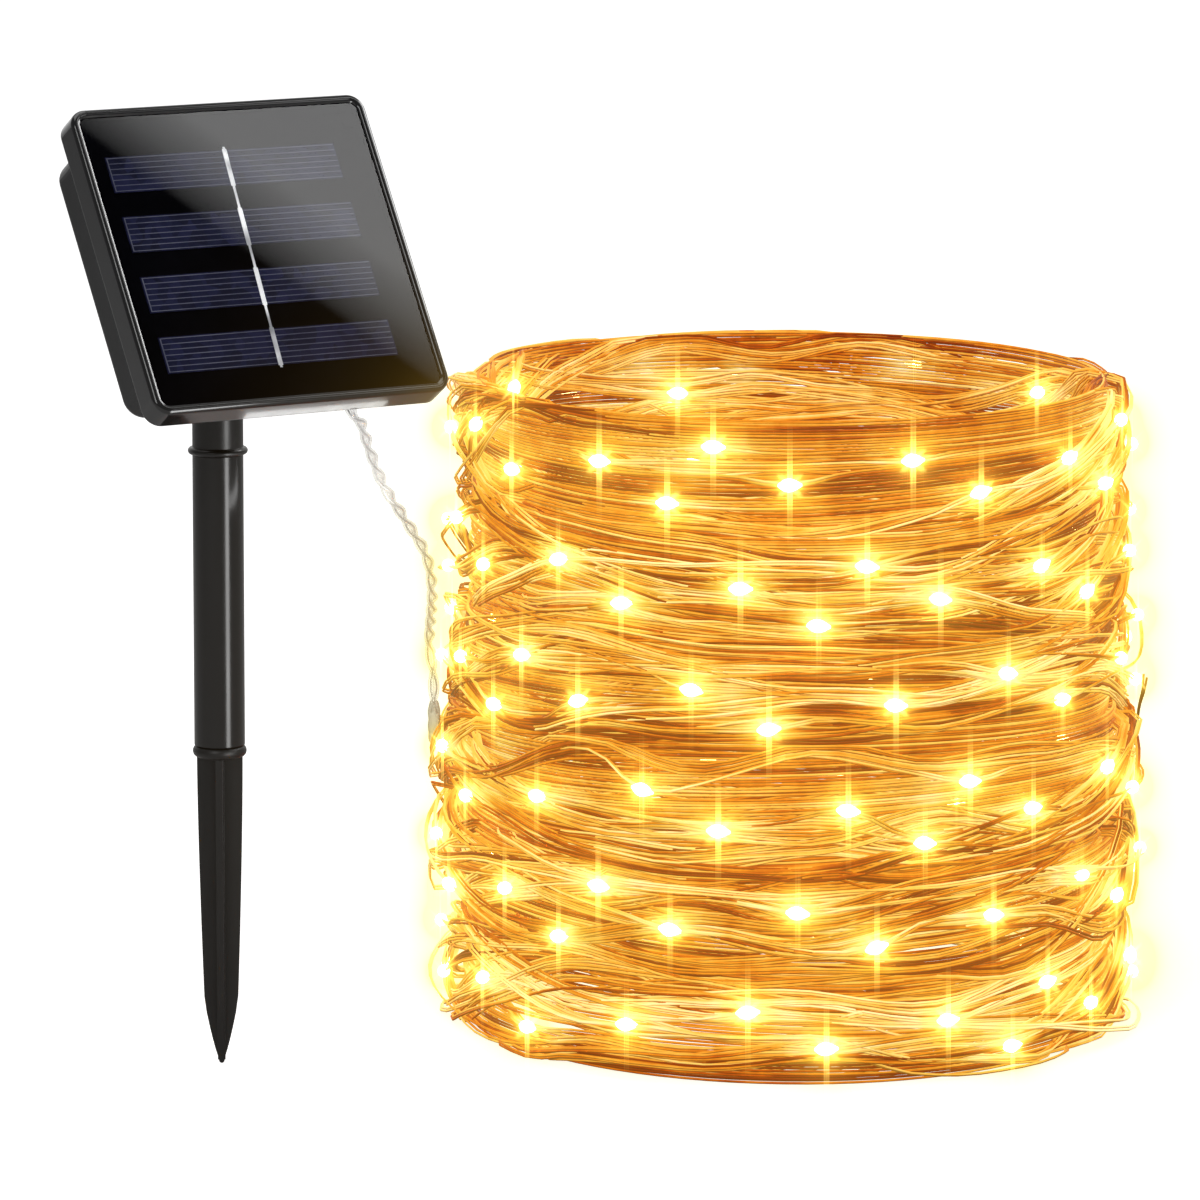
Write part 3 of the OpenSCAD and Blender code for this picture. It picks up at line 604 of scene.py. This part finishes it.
def bundle_turns(hank, run, angle):
    """The other turns run in loose bundles that twist round the core like a rope.
    A bundle hardly climbs at the front and back of the coil and climbs fast at its sides."""
    half_w = COIL_WALL / 2 - SECTION_INSET
    half_h = hank.half_h - STRAND_R
    count = BUNDLES * BUNDLE_TURNS + 2
    turn = np.arange(count)
    bundle = turn // BUNDLE_TURNS
    lay = rng.choice(LAYS, BUNDLES + 2, p=LAY_ODDS)[bundle]
    start = (bundle * GOLDEN_SHARE + rng.uniform(-0.02, 0.02, BUNDLES + 2)[bundle]) % 1
    depth = rng.uniform(0.72, 0.98, BUNDLES + 2)[bundle]
    inner = turn % BUNDLE_TURNS
    spread = SPREAD * np.sqrt((inner + 0.5) / BUNDLE_TURNS)
    spoke = 2 * np.pi * GOLDEN_SHARE * turn
    climb = (angle - 0.45 * np.sin(2 * (angle - FRONT_ANGLE))) / (2 * np.pi)

    def place(j):
        out, rise = section_point(start[j] + lay[j] * climb, half_w, half_h)
        roll = spoke[j] + 0.7 * angle
        return (out * depth[j] + spread[j] * np.cos(roll) * SPREAD_ACROSS,
                rise * depth[j] + spread[j] * np.sin(roll))

    knots = turn + rng.uniform(0, 0.9, count)
    knots[0] = 0
    j = np.clip(np.searchsorted(knots, run, side="right") - 1, 0, count - 2)
    f = np.clip((run - knots[j + 1]) / 0.25 + 1, 0, 1)
    f = f * f * (3 - 2 * f)
    here, there = place(j), place(j + 1)
    out = here[0] * (1 - f) + there[0] * f + wander(run, BUNDLE_OUT)
    rise = here[1] * (1 - f) + there[1] * f + wander(run, BUNDLE_RISE)
    sway = rng.uniform(-1, 1, (BUNDLES + 2, SWAYS + 1))
    sway[:, -1] = sway[:, 0]
    at = angle / (2 * np.pi) % 1 * SWAYS
    i = at.astype(int)
    ease = (at - i) ** 2 * (3 - 2 * (at - i))
    rise = rise + SWAY * (sway[bundle[j], i] * (1 - ease) + sway[bundle[j], i + 1] * ease)
    side_on = np.sin(angle - FRONT_ANGLE) ** 2
    loose = np.clip(drift(run, 5) - 0.4, 0, 1) ** 1.5 * (0.25 + side_on)
    out = np.clip(out, -half_w, half_w) + np.where(out > 0, loose * LOOSE_REACH, 0)
    return out, np.clip(rise, -half_h - 2 * MM, half_h + 2 * MM), bundle[j]


def boundary_wave(angle, z):
    """How far the hanks' edges rise and fall round the coil; level at the floor and the top."""
    room = np.clip(np.minimum(z, COIL_TOP - z) / (25 * MM), 0, 1)
    return room * EDGE_WAVE * np.sin(angle * 2 + z / (19 * MM))


def hank_path(hank):
    """The middle line of all of one hank's string, and a base tone along it that holds painted
    shade and painted light.
    """
    run = np.arange(TURNS * STEPS + 1) / STEPS
    angle = run * 2 * np.pi
    split = CORE_TURNS * STEPS
    core_out, core_rise = core_turns(hank, run[:split])
    out, rise, bundle = bundle_turns(hank, run[split:] - run[split], angle[split:])
    ease = np.clip((run[split:] - CORE_TURNS) / 0.5, 0, 1)
    out = core_out[-1] * (1 - ease) + out * ease
    rise = core_rise[-1] * (1 - ease) + rise * ease
    out = np.concatenate([core_out, out])
    rise = np.concatenate([core_rise, rise])
    radius = hank.radius - COIL_WALL / 2 + out
    z = hank.z + rise
    z = np.clip(z + boundary_wave(angle, z), COIL_FLOOR + STRAND_GAP, COIL_TOP - STRAND_GAP)
    path = np.stack([COIL.x + radius * np.cos(angle), COIL.y + radius * np.sin(angle), z], 1)
    tones = rng.uniform(*BUNDLE_TONES, BUNDLES + 2)
    # Painted shadow: some whole turns are darker
    dark = rng.choice([0.0, PAINTED_SHADOW_DROP], TURNS + 1, p=[1 - PAINTED_SHADOW_ODDS, PAINTED_SHADOW_ODDS])
    tone = np.concatenate([np.full(split, CORE_TONE), tones[bundle]]) - dark[run.astype(int)]
    # Painted shade: strands deeper in the wall are darker. Painted light: loose loops that stand
    # off the outer face are lighter. The tone also grows lighter towards the bottom, and near the
    # inner face it is drawn towards INNER_TONE
    deep = np.clip(1 - np.abs(out) / (0.45 * COIL_WALL), 0, 1)
    inside = np.clip(-out / (0.3 * COIL_WALL), 0, 1)
    astray = np.clip(out / (COIL_WALL / 2) - 0.95, 0, 1)
    tone = tone - 0.12 * deep + 0.05 * (0.5 - z / COIL_TOP) + 0.5 * astray
    return path, tone * (1 - 0.7 * inside) + INNER_TONE * inside


def pull_to(path, taken, place):
    """Bends the string so that it passes through a place; returns the point's index or None."""
    gap = np.linalg.norm(path - place, axis=1) + taken
    k = int(np.argmin(gap[3:-3])) + 3
    if gap[k] > PULL_LIMIT:
        return None
    shift = place - path[k]
    for step, share in ((0, 1.0), (1, 0.72), (2, 0.25), (3, 0.05)):
        for i in {k - step, k + step}:
            path[i] += shift * share
    taken[max(k - 7, 0):k + 8] = 1.0
    return k


def unit(v):
    """A vector of length one."""
    return v / np.linalg.norm(v)


def glow_near(path, leds):
    """How strongly the LEDs' painted light falls on each path point: wide along the coil, narrow
    up and down.
    """
    total = np.zeros(len(path))
    reach_along, reach_up, reach_through = GLOW_REACH
    for place, _ in leds:
        radial = unit(np.array([place[0] - COIL.x, place[1] - COIL.y, 0.0]))
        along = np.array([-radial[1], radial[0], 0.0])
        gap = path - place
        a = (gap @ along / reach_along) ** 2
        z = (gap[:, 2] / reach_up) ** 2
        r = (gap @ radial / reach_through) ** 2
        total += (NEAR_GLOW * np.exp(-(a + z + r))
                  + FAR_GLOW * np.exp(-(a / 5 + z / 6 + r / 3)))
    return np.clip(total, 0, 1)


def strand_pair(path, run):
    """Two strands side by side along the string, slowly turning about each other."""
    _, side, up = path_frames(path)
    roll = np.where(run < CORE_TURNS, 0.15, 1.0) * wander(run, STRAND_ROLL)
    offset = (np.cos(roll)[:, None] * up + np.sin(roll)[:, None] * side) * STRAND_GAP / 2
    return [path + offset, path - offset]


def build_coil():
    """All six hanks of string. Returns each LED's place and the string's direction there."""
    run = np.arange(TURNS * STEPS + 1) / STEPS
    paths, leds = [], []
    for hank in HANKS:
        path, tone = hank_path(hank)
        taken = np.zeros(len(path))
        for place in LED_PLACES:
            if abs(place[2] - hank.z) < hank.half_h:
                k = pull_to(path, taken, place)
                if k is not None:
                    leds.append((path[k], unit(path[k + 1] - path[k - 1])))
        paths.append((hank, path, tone))
    wire = wire_material()
    for i, (hank, path, tone) in enumerate(paths):
        glow = glow_near(path, leds)
        tones = [tone + wander(run, STRAND_TONE) for _ in range(2)]
        mesh = tube_mesh(strand_pair(path, run), STRAND_R, STRAND_SIDES, STEPS,
                         {"glow": [glow, glow], "tone": tones})
        piece = new_piece(f"copper_string_{i + 1}", mesh, wire)
        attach(piece, "coil")
        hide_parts(hank.node)
    return leds


def build_leds(leds):
    """A resin drop moulded along the string at each LED, and the chip inside it."""
    drop = []
    for i in range(9):
        t = i / 8
        swell = math.sin(math.pi * t) ** 0.7 * (1 + 0.12 * math.cos(math.pi * t))
        drop.append((DROP_LENGTH * (t - 0.5), max(DROP_RADIUS * swell, STRAND_R)))
    chip = [(-0.9 * MM, 0.5 * MM), (-0.8 * MM, 0.62 * MM), (0.8 * MM, 0.62 * MM),
            (0.9 * MM, 0.5 * MM)]
    drops = join_solids([lathe(drop, place, axis, 10) for place, axis in leds])
    chips = join_solids([lathe(chip, place, axis, 6) for place, axis in leds])
    piece = new_piece("led_drops", drops, resin_material())
    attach(piece, "coil")
    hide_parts("led_beads")
    piece = new_piece("led_lamps", chips, chip_material())
    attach(piece, "coil")
    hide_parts("led_chips")


def keep_light_on_coil():
    """The string lights itself only and isn't mirrored, so the stake and panel stay black."""
    lit = bpy.data.collections.new("lit_by_string")
    names = [f"copper_string_{i + 1}" for i in range(len(HANKS))] + ["led_drops", "led_lamps"]
    for name in names:
        piece = bpy.data.objects[name]
        lit.objects.link(piece)
        piece.light_linking.receiver_collection = lit
        piece.visible_glossy = False


# ---- The lead ----

# Length of one full twist of the two cores, and their distance from the middle line
LEAD_PITCH = 20 * MM
LEAD_OFFSET = 0.96 * MM
LEAD_JACKET_R = 0.94 * MM
LEAD_CORE_R = 0.3 * MM
# Distance between the points of the lead's line
LEAD_STEP = 0.9 * MM
SPLICE_R = 2.0 * MM


def smooth_path(points, steps):
    """A smooth curve through points, with steps on each stretch."""
    pts = [np.array(p, float) for p in points]
    pts = [2 * pts[0] - pts[1], *pts, 2 * pts[-1] - pts[-2]]
    out = []
    for a, b, c, d in zip(pts, pts[1:], pts[2:], pts[3:]):
        for s in range(steps):
            u = s / steps
            out.append(0.5 * (2 * b + (c - a) * u + (2 * a - 5 * b + 4 * c - d) * u ** 2
                              + (3 * b - a - 3 * c + d) * u ** 3))
    return np.array([*out, pts[-2]])


def level_centres(node, spacing):
    """Centres of level slices through a node, from the top down."""
    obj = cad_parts[node]
    points = np.array([obj.matrix_world @ v.co for v in obj.data.vertices])
    centres = []
    for z in np.arange(points[:, 2].max() - spacing, points[:, 2].min(), -spacing):
        near = points[np.abs(points[:, 2] - z) < 3 * MM]
        centres.append(Vector((near.min(0) + near.max(0)) / 2))
    return centres


def build_lead():
    """The clear two-core lead from the gland to the splice on the coil's side."""
    gland = middle("cable_gland")
    splice_low, splice_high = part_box("lead_splice")
    splice = (splice_low + splice_high) / 2
    end = Vector((splice.x, splice.y, splice_high.z - 4 * MM))
    outward = Vector((splice.x - COIL.x, splice.y - COIL.y, 0)).normalized()
    below = gland - FACE_UP * 9 * MM
    hanging = [place for place in level_centres("lead_cable", 14 * MM)
               if end.z + 32 * MM < place.z < below.z - 10 * MM]
    line = smooth_path([
        gland + FACE_UP * 3 * MM, gland - FACE_UP * 3 * MM, below,
        below + Vector((5, 3, -4)) * MM, *hanging,
        end + Vector((0, 0, 24 * MM)) + outward * 1.5 * MM,
        end + Vector((0, 0, 13 * MM)) + outward * 0.3 * MM, end,
    ], 16)
    length = np.concatenate([[0], np.cumsum(np.linalg.norm(np.diff(line, axis=0), axis=1))])
    along = np.arange(0, length[-1], LEAD_STEP)
    line = np.stack([np.interp(along, length, line[:, i]) for i in range(3)], 1)
    _, side, up = path_frames(line)
    roll = 2 * np.pi * along / LEAD_PITCH
    offset = (np.cos(roll)[:, None] * side + np.sin(roll)[:, None] * up) * LEAD_OFFSET
    cores = [line + offset, line - offset]
    # The lead's film glows a little with painted light, to look lighter
    clear = clear_film("lead_clear", (0.86, 0.87, 0.9), 0.2, 0.75, 0.1, 0.3)
    tinned = metal("tinned_copper", (0.6, 0.6, 0.63), (0.9, 0.9, 0.92), (0.25, 0.4))
    for name, radius, sides, material in (("lead_jacket", LEAD_JACKET_R, 10, clear),
                                          ("lead_cores", LEAD_CORE_R, 6, tinned)):
        piece = new_piece(name, tube_mesh(cores, radius, sides, 60), material)
        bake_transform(piece)
        if name == "lead_jacket":
            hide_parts("lead_cable")
    build_splice(splice, (splice_high.z - splice_low.z) / 2)


def build_splice(place, half):
    """Heat-shrunk clear sleeve, drawn in at its ends and round over the joint."""
    profile = []
    for i in range(21):
        t = i / 20
        neck = 1 - 0.35 * abs(2 * t - 1) ** 6
        profile.append((half * (2 * t - 1), SPLICE_R * neck * (1 + 0.05 * math.sin(t * 19))))
    mesh = join_solids([lathe(profile, np.array(place), (0, 0, 1), 20)])
    film = clear_film("splice_clear", (0.8, 0.8, 0.78), 0.45, 0.9, 0.2)
    piece = new_piece("splice_sleeve", mesh, film)
    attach(piece, "coil")
    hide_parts("lead_splice")


# ---- Camera, stage and light ----

# The corners of a flat piece's own map
FULL_FACE = (0, 0), (1, 0), (1, 1), (0, 1)
FLOOR_HALF = 8.0
FLOOR_DROP = 0.2 * MM

# Cards that only the black plastic and the cover mirror: brightness, and distance behind
# the mirroring surface
WINDOW_LIGHT, WINDOW_DISTANCE = 21.0, 0.6
STAKE_CARD_LIGHT, STAKE_CARD_DISTANCE, STAKE_CARD_HALF = 8.0, 0.25, 0.035
LIP_CARD_LIGHT, LIP_CARD_DISTANCE, LIP_CARD_HALF = 9.0, 0.35, 0.06
UNDER_CARD_LIGHT, UNDER_CARD_DISTANCE = 4.0, 0.05
# The window's brightness grows from the face's falling diagonal, each level at its place
WINDOW_LEVELS = (0.0, 0.022, 0.05, 0.09, 0.13, 0.16)
WINDOW_PLACES = (0.0, 0.1, 0.3, 0.55, 0.85, 1.0)
WINDOW_RANGE = (0.97, 1.37)
# The stake's highlight lies where its surface faces this mix of towards the camera and right
STAKE_SHINE = (0.94, 0.34)
# How far the inner side of the frame's lip tips from the face
LIP_TIP = math.radians(22)
# Part of the frame's underside that shines: across the width, and from front to back
UNDER_ACROSS = (0.32, 0.8)
UNDER_THROUGH = (0.5, -0.3)

# Soft lights: place, size and power in watts
LIGHT_TARGET = (0.12, 0, 0.15)
LIGHTS = (
    ("key", (-1.3, -1.0, 1.3), (0.5, 1.2), 8),
    ("fill", (1.3, -1.5, 0.9), (0.8, 0.8), 3),
    ("top", (0.1, 0.3, 2.0), (1.5, 1.5), 12),
)

# Only the chips are brighter than the first threshold, and only the LEDs than the second
CHIP_THRESHOLD = 14.0
LED_THRESHOLD = 3.0
STREAK_TINT = (1.0, 0.9, 0.55, 1.0)
# Streaks: how many, their angle in degrees, strength, iterations and fade
STREAKS = ((2, 90, 0.7, 3, 0.92), (4, 45, 0.35, 2, 0.88))
# Blooms: strength, size and tint
BLOOMS = ((1.0, 0.24, (1.0, 0.9, 0.5, 1.0)), (0.18, 0.3, (1.0, 0.7, 0.16, 1.0)))
# The fringe round the LEDs: tint, size, and how fast it fills in as the halo grows
FRINGE_TINT = (1.0, 0.97, 0.5, 1.0)
FRINGE_SIZE = 0.26
FRINGE_GAIN = 9.0

CAMERA_AZIMUTH = math.radians(-31)
CAMERA_PITCH = math.radians(9.744)
CAMERA_DISTANCE = 2.0487
CAMERA_TARGET = Vector((0.09, 0.0, 0.16))
# Focal length and shift as shares of the picture's width
CAMERA_FOCAL = 5.3214
CAMERA_SHIFT = (0.1129, -0.0483)


def camera_direction():
    """From the target towards the camera."""
    return Vector((
        math.sin(CAMERA_AZIMUTH) * math.cos(CAMERA_PITCH),
        -math.cos(CAMERA_AZIMUTH) * math.cos(CAMERA_PITCH),
        math.sin(CAMERA_PITCH),
    ))


CAMERA_PLACE = CAMERA_TARGET + CAMERA_DISTANCE * camera_direction()


def build_camera():
    """A long lens that sees the object from its front left."""
    data = bpy.data.cameras.new("camera")
    data.sensor_width = 36
    data.lens = CAMERA_FOCAL * data.sensor_width
    data.shift_x, data.shift_y = CAMERA_SHIFT
    camera = bpy.data.objects.new("camera", data)
    camera.location = CAMERA_PLACE
    camera.rotation_euler = (-camera_direction()).to_track_quat("-Z", "Y").to_euler()
    bpy.context.scene.collection.objects.link(camera)
    bpy.context.scene.camera = camera


def quad(name, corners, material, uvs=FULL_FACE):
    """A flat stage piece."""
    mesh = bpy.data.meshes.new(name)
    mesh.from_pydata([tuple(corner) for corner in corners], [], [(0, 1, 2, 3)])
    mesh.uv_layers.new(name="face").data.foreach_set("uv", [n for uv in uvs for n in uv])
    mesh.materials.append(material)
    piece = bpy.data.objects.new(name, mesh)
    bpy.context.scene.collection.objects.link(piece)
    return piece


def build_floor():
    """A plain white floor that looks pale to the camera and dim to reflections."""
    mat, tree = new_material("floor_white")
    path = tree.nodes.new("ShaderNodeLightPath")
    bsdf = principled(tree, Roughness=0.9)
    bsdf.inputs["Base Color"].default_value = (0.8, 0.8, 0.8, 1)
    bsdf.inputs["Emission Color"].default_value = WHITE
    tree.links.new(remap(tree, path.outputs["Is Camera Ray"], 0.02, 0.9),
                   bsdf.inputs["Emission Strength"])
    low, high, z = -FLOOR_HALF, FLOOR_HALF, cad_bounds[0].z - FLOOR_DROP
    quad("floor", [(low, low, z), (high, low, z), (high, high, z), (low, high, z)], mat)


def mirror_card(name, corners, strength, uvs=FULL_FACE):
    """A lit card that only reflections can see. strength makes the shader's value."""
    mat, tree = new_material(name)
    shine = add(tree, "ShaderNodeEmission", Color=WHITE)
    out = tree.nodes.new("ShaderNodeOutputMaterial")
    tree.links.new(shine.outputs[0], out.inputs["Surface"])
    strength(tree, shine.inputs["Strength"])
    card = quad(name, corners, mat, uvs)
    card.visible_camera = False
    card.visible_diffuse = False
    card.visible_transmission = False
    card.visible_shadow = False


def even(level):
    """An even brightness for a mirror card."""
    def strength(_, socket):
        socket.default_value = level
    return strength


def slanting_window(tree, socket):
    """Dark below the face's falling diagonal and brighter towards its upper right corner."""
    face = tree.nodes.new("ShaderNodeUVMap")
    face.uv_map = "face"
    split = tree.nodes.new("ShaderNodeSeparateXYZ")
    tree.links.new(face.outputs[0], split.inputs[0])
    across = combine(tree, "ADD", split.outputs[0], split.outputs[1])
    lit = ramp(tree, remap(tree, across, 0, 1, *WINDOW_RANGE),
               [(at, (v, v, v)) for at, v in zip(WINDOW_PLACES, WINDOW_LEVELS)])
    tree.links.new(combine(tree, "MULTIPLY", lit, WINDOW_LIGHT), socket)


def mirrored_corners(points, normal, distance):
    """Where the camera's rays go, some distance on, after a mirror at each of the points."""
    corners = []
    for at in points:
        ray = (at - CAMERA_PLACE).normalized()
        corners.append(at + (ray - 2 * ray.dot(normal) * normal) * distance)
    return corners


def window_card():
    """A card whose reflection in the cover crosses the panel's face from corner to corner."""
    centre = middle("panel_cover")
    uvs = ((-0.5, -0.5), (1.5, -0.5), (1.5, 1.5), (-0.5, 1.5))
    points = [centre + (u - 0.5) * PANEL_SIZE * RIGHT + (v - 0.5) * PANEL_SIZE * FACE_UP
              for u, v in uvs]
    corners = mirrored_corners(points, FACE_OUT, WINDOW_DISTANCE)
    mirror_card("window_card", corners, slanting_window, uvs)


def tall_card(name, points, normal, distance, across, half, level):
    """An even card between two mirrored points, widened to both sides."""
    foot, top = mirrored_corners(points, normal, distance)
    side = (top - points[1]).cross(across).normalized() * half
    mirror_card(name, [foot - side, foot + side, top + side, top - side], even(level))


def stake_card():
    """A tall card that makes the narrow highlight right of the stake's middle."""
    low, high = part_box("stake_tube")
    middle_line = (low + high) / 2
    toward = CAMERA_PLACE - middle_line
    toward = Vector((toward.x, toward.y, 0)).normalized()
    right = Vector((-toward.y, toward.x, 0))
    points = [Vector((middle_line.x, middle_line.y, z)) for z in (low.z - 0.02, high.z + 0.05)]
    normal = (STAKE_SHINE[0] * toward + STAKE_SHINE[1] * right).normalized()
    tall_card("stake_card", points, normal, STAKE_CARD_DISTANCE, Vector((0, 0, 1)),
              STAKE_CARD_HALF, STAKE_CARD_LIGHT)


def lip_card():
    """A small card mirrored as a line along the inner side of the frame's left lip."""
    normal = math.cos(LIP_TIP) * FACE_OUT + math.sin(LIP_TIP) * RIGHT
    edge = middle("front_frame") - RIGHT * PANEL_SIZE / 2
    points = [edge - FACE_UP * PANEL_SIZE * 0.6, edge + FACE_UP * PANEL_SIZE * 0.6]
    tall_card("lip_card", points, normal, LIP_CARD_DISTANCE, FACE_UP, LIP_CARD_HALF,
              LIP_CARD_LIGHT)


def under_card():
    """A small card mirrored along the front of the frame's underside."""
    thick = (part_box("front_frame")[1].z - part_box("front_frame")[0].z
             - PANEL_SIZE * math.cos(LEAN)) / math.sin(LEAN)
    edge = middle("front_frame") - FACE_UP * PANEL_SIZE / 2
    (left, right), (front, back) = UNDER_ACROSS, UNDER_THROUGH
    points = [edge + (u - 0.5) * PANEL_SIZE * RIGHT + (w - 0.5) * thick * FACE_OUT
              for u, w in ((left, front), (right, front), (right, back), (left, back))]
    corners = mirrored_corners(points, -FACE_UP, UNDER_CARD_DISTANCE)
    mirror_card("under_card", corners, even(UNDER_CARD_LIGHT))


def area_light(name, place, size, power):
    """A soft rectangular light that the camera can't see."""
    data = bpy.data.lights.new(name, "AREA")
    data.shape = "RECTANGLE"
    data.size, data.size_y = size
    data.energy = power
    light = bpy.data.objects.new(name, data)
    light.location = place
    aim = Vector(LIGHT_TARGET) - Vector(place)
    light.rotation_euler = aim.to_track_quat("-Z", "Y").to_euler()
    light.visible_camera = False
    bpy.context.scene.collection.objects.link(light)


def build_light():
    """A white room to the camera. Reflections see it bright behind the object and dim in front."""
    world = bpy.data.worlds.new("studio")
    bpy.context.scene.world = world
    world.use_nodes = True
    tree = world.node_tree
    tree.nodes.clear()
    ray = tree.nodes.new("ShaderNodeTexCoord")
    ahead = tree.nodes.new("ShaderNodeVectorMath")
    ahead.operation = "DOT_PRODUCT"
    ahead.inputs[1].default_value = -camera_direction()
    tree.links.new(ray.outputs["Generated"], ahead.inputs[0])
    mirrored = remap(tree, ahead.outputs["Value"], 0.0, 0.7, 0.3, 0.9)
    path = tree.nodes.new("ShaderNodeLightPath")
    glossy = combine(tree, "MULTIPLY", path.outputs["Is Glossy Ray"], mirrored)
    strength = combine(tree, "ADD", combine(tree, "ADD", glossy, 0.2),
                       combine(tree, "MULTIPLY", path.outputs["Is Camera Ray"], 0.8))
    back = add(tree, "ShaderNodeBackground", Color=WHITE)
    out = tree.nodes.new("ShaderNodeOutputWorld")
    tree.links.new(strength, back.inputs["Strength"])
    tree.links.new(back.outputs[0], out.inputs["Surface"])
    for name, place, size, power in LIGHTS:
        area_light(name, place, size, power)


def glare(tree, image, kind, **values):
    """A glare node over an image, with inputs given by name."""
    node = tree.nodes.new("CompositorNodeGlare")
    node.glare_type = kind
    node.quality = "HIGH"
    for key, value in values.items():
        node.inputs[key.replace("_", " ")].default_value = value
    tree.links.new(image, node.inputs["Image"])
    return node


def yellow_fringe(tree, image):
    """Yellows what lies next to a lit LED, so that its halo also shows on the white floor."""
    halo = glare(tree, image, "BLOOM", Threshold=LED_THRESHOLD, Strength=1.0,
                 Size=FRINGE_SIZE)
    level = tree.nodes.new("CompositorNodeRGBToBW")
    share = tree.nodes.new("CompositorNodeMath")
    share.operation = "MULTIPLY"
    share.use_clamp = True
    share.inputs[1].default_value = FRINGE_GAIN
    fringe = tree.nodes.new("CompositorNodeMixRGB")
    fringe.blend_type = "MULTIPLY"
    fringe.inputs[2].default_value = FRINGE_TINT
    tree.links.new(halo.outputs["Glare"], level.inputs["Image"])
    tree.links.new(level.outputs["Val"], share.inputs[0])
    tree.links.new(share.outputs[0], fringe.inputs["Fac"])
    tree.links.new(image, fringe.inputs[1])
    return fringe.outputs["Image"]


def build_glare():
    """The lens's bloom and short streaks round the lit LEDs."""
    scene = bpy.context.scene
    scene.view_settings.view_transform = "Standard"
    scene.use_nodes = True
    tree = scene.node_tree
    tree.nodes.clear()
    layers = tree.nodes.new("CompositorNodeRLayers")
    image = yellow_fringe(tree, layers.outputs["Image"])
    for count, angle, strength, iterations, fade in STREAKS:
        image = glare(tree, image, "STREAKS", Threshold=CHIP_THRESHOLD, Strength=strength,
                      Streaks=count, Iterations=iterations, Streaks_Angle=math.radians(angle),
                      Fade=fade, Tint=STREAK_TINT).outputs["Image"]
    for strength, size, tint in BLOOMS:
        image = glare(tree, image, "BLOOM", Threshold=LED_THRESHOLD, Strength=strength,
                      Size=size, Tint=tint).outputs["Image"]
    out = tree.nodes.new("CompositorNodeComposite")
    tree.links.new(image, out.inputs["Image"])


paint_nodes()
build_leds(build_coil())
build_lead()
keep_light_on_coil()
build_floor()
window_card()
stake_card()
lip_card()
under_card()
build_light()
build_camera()
build_glare()
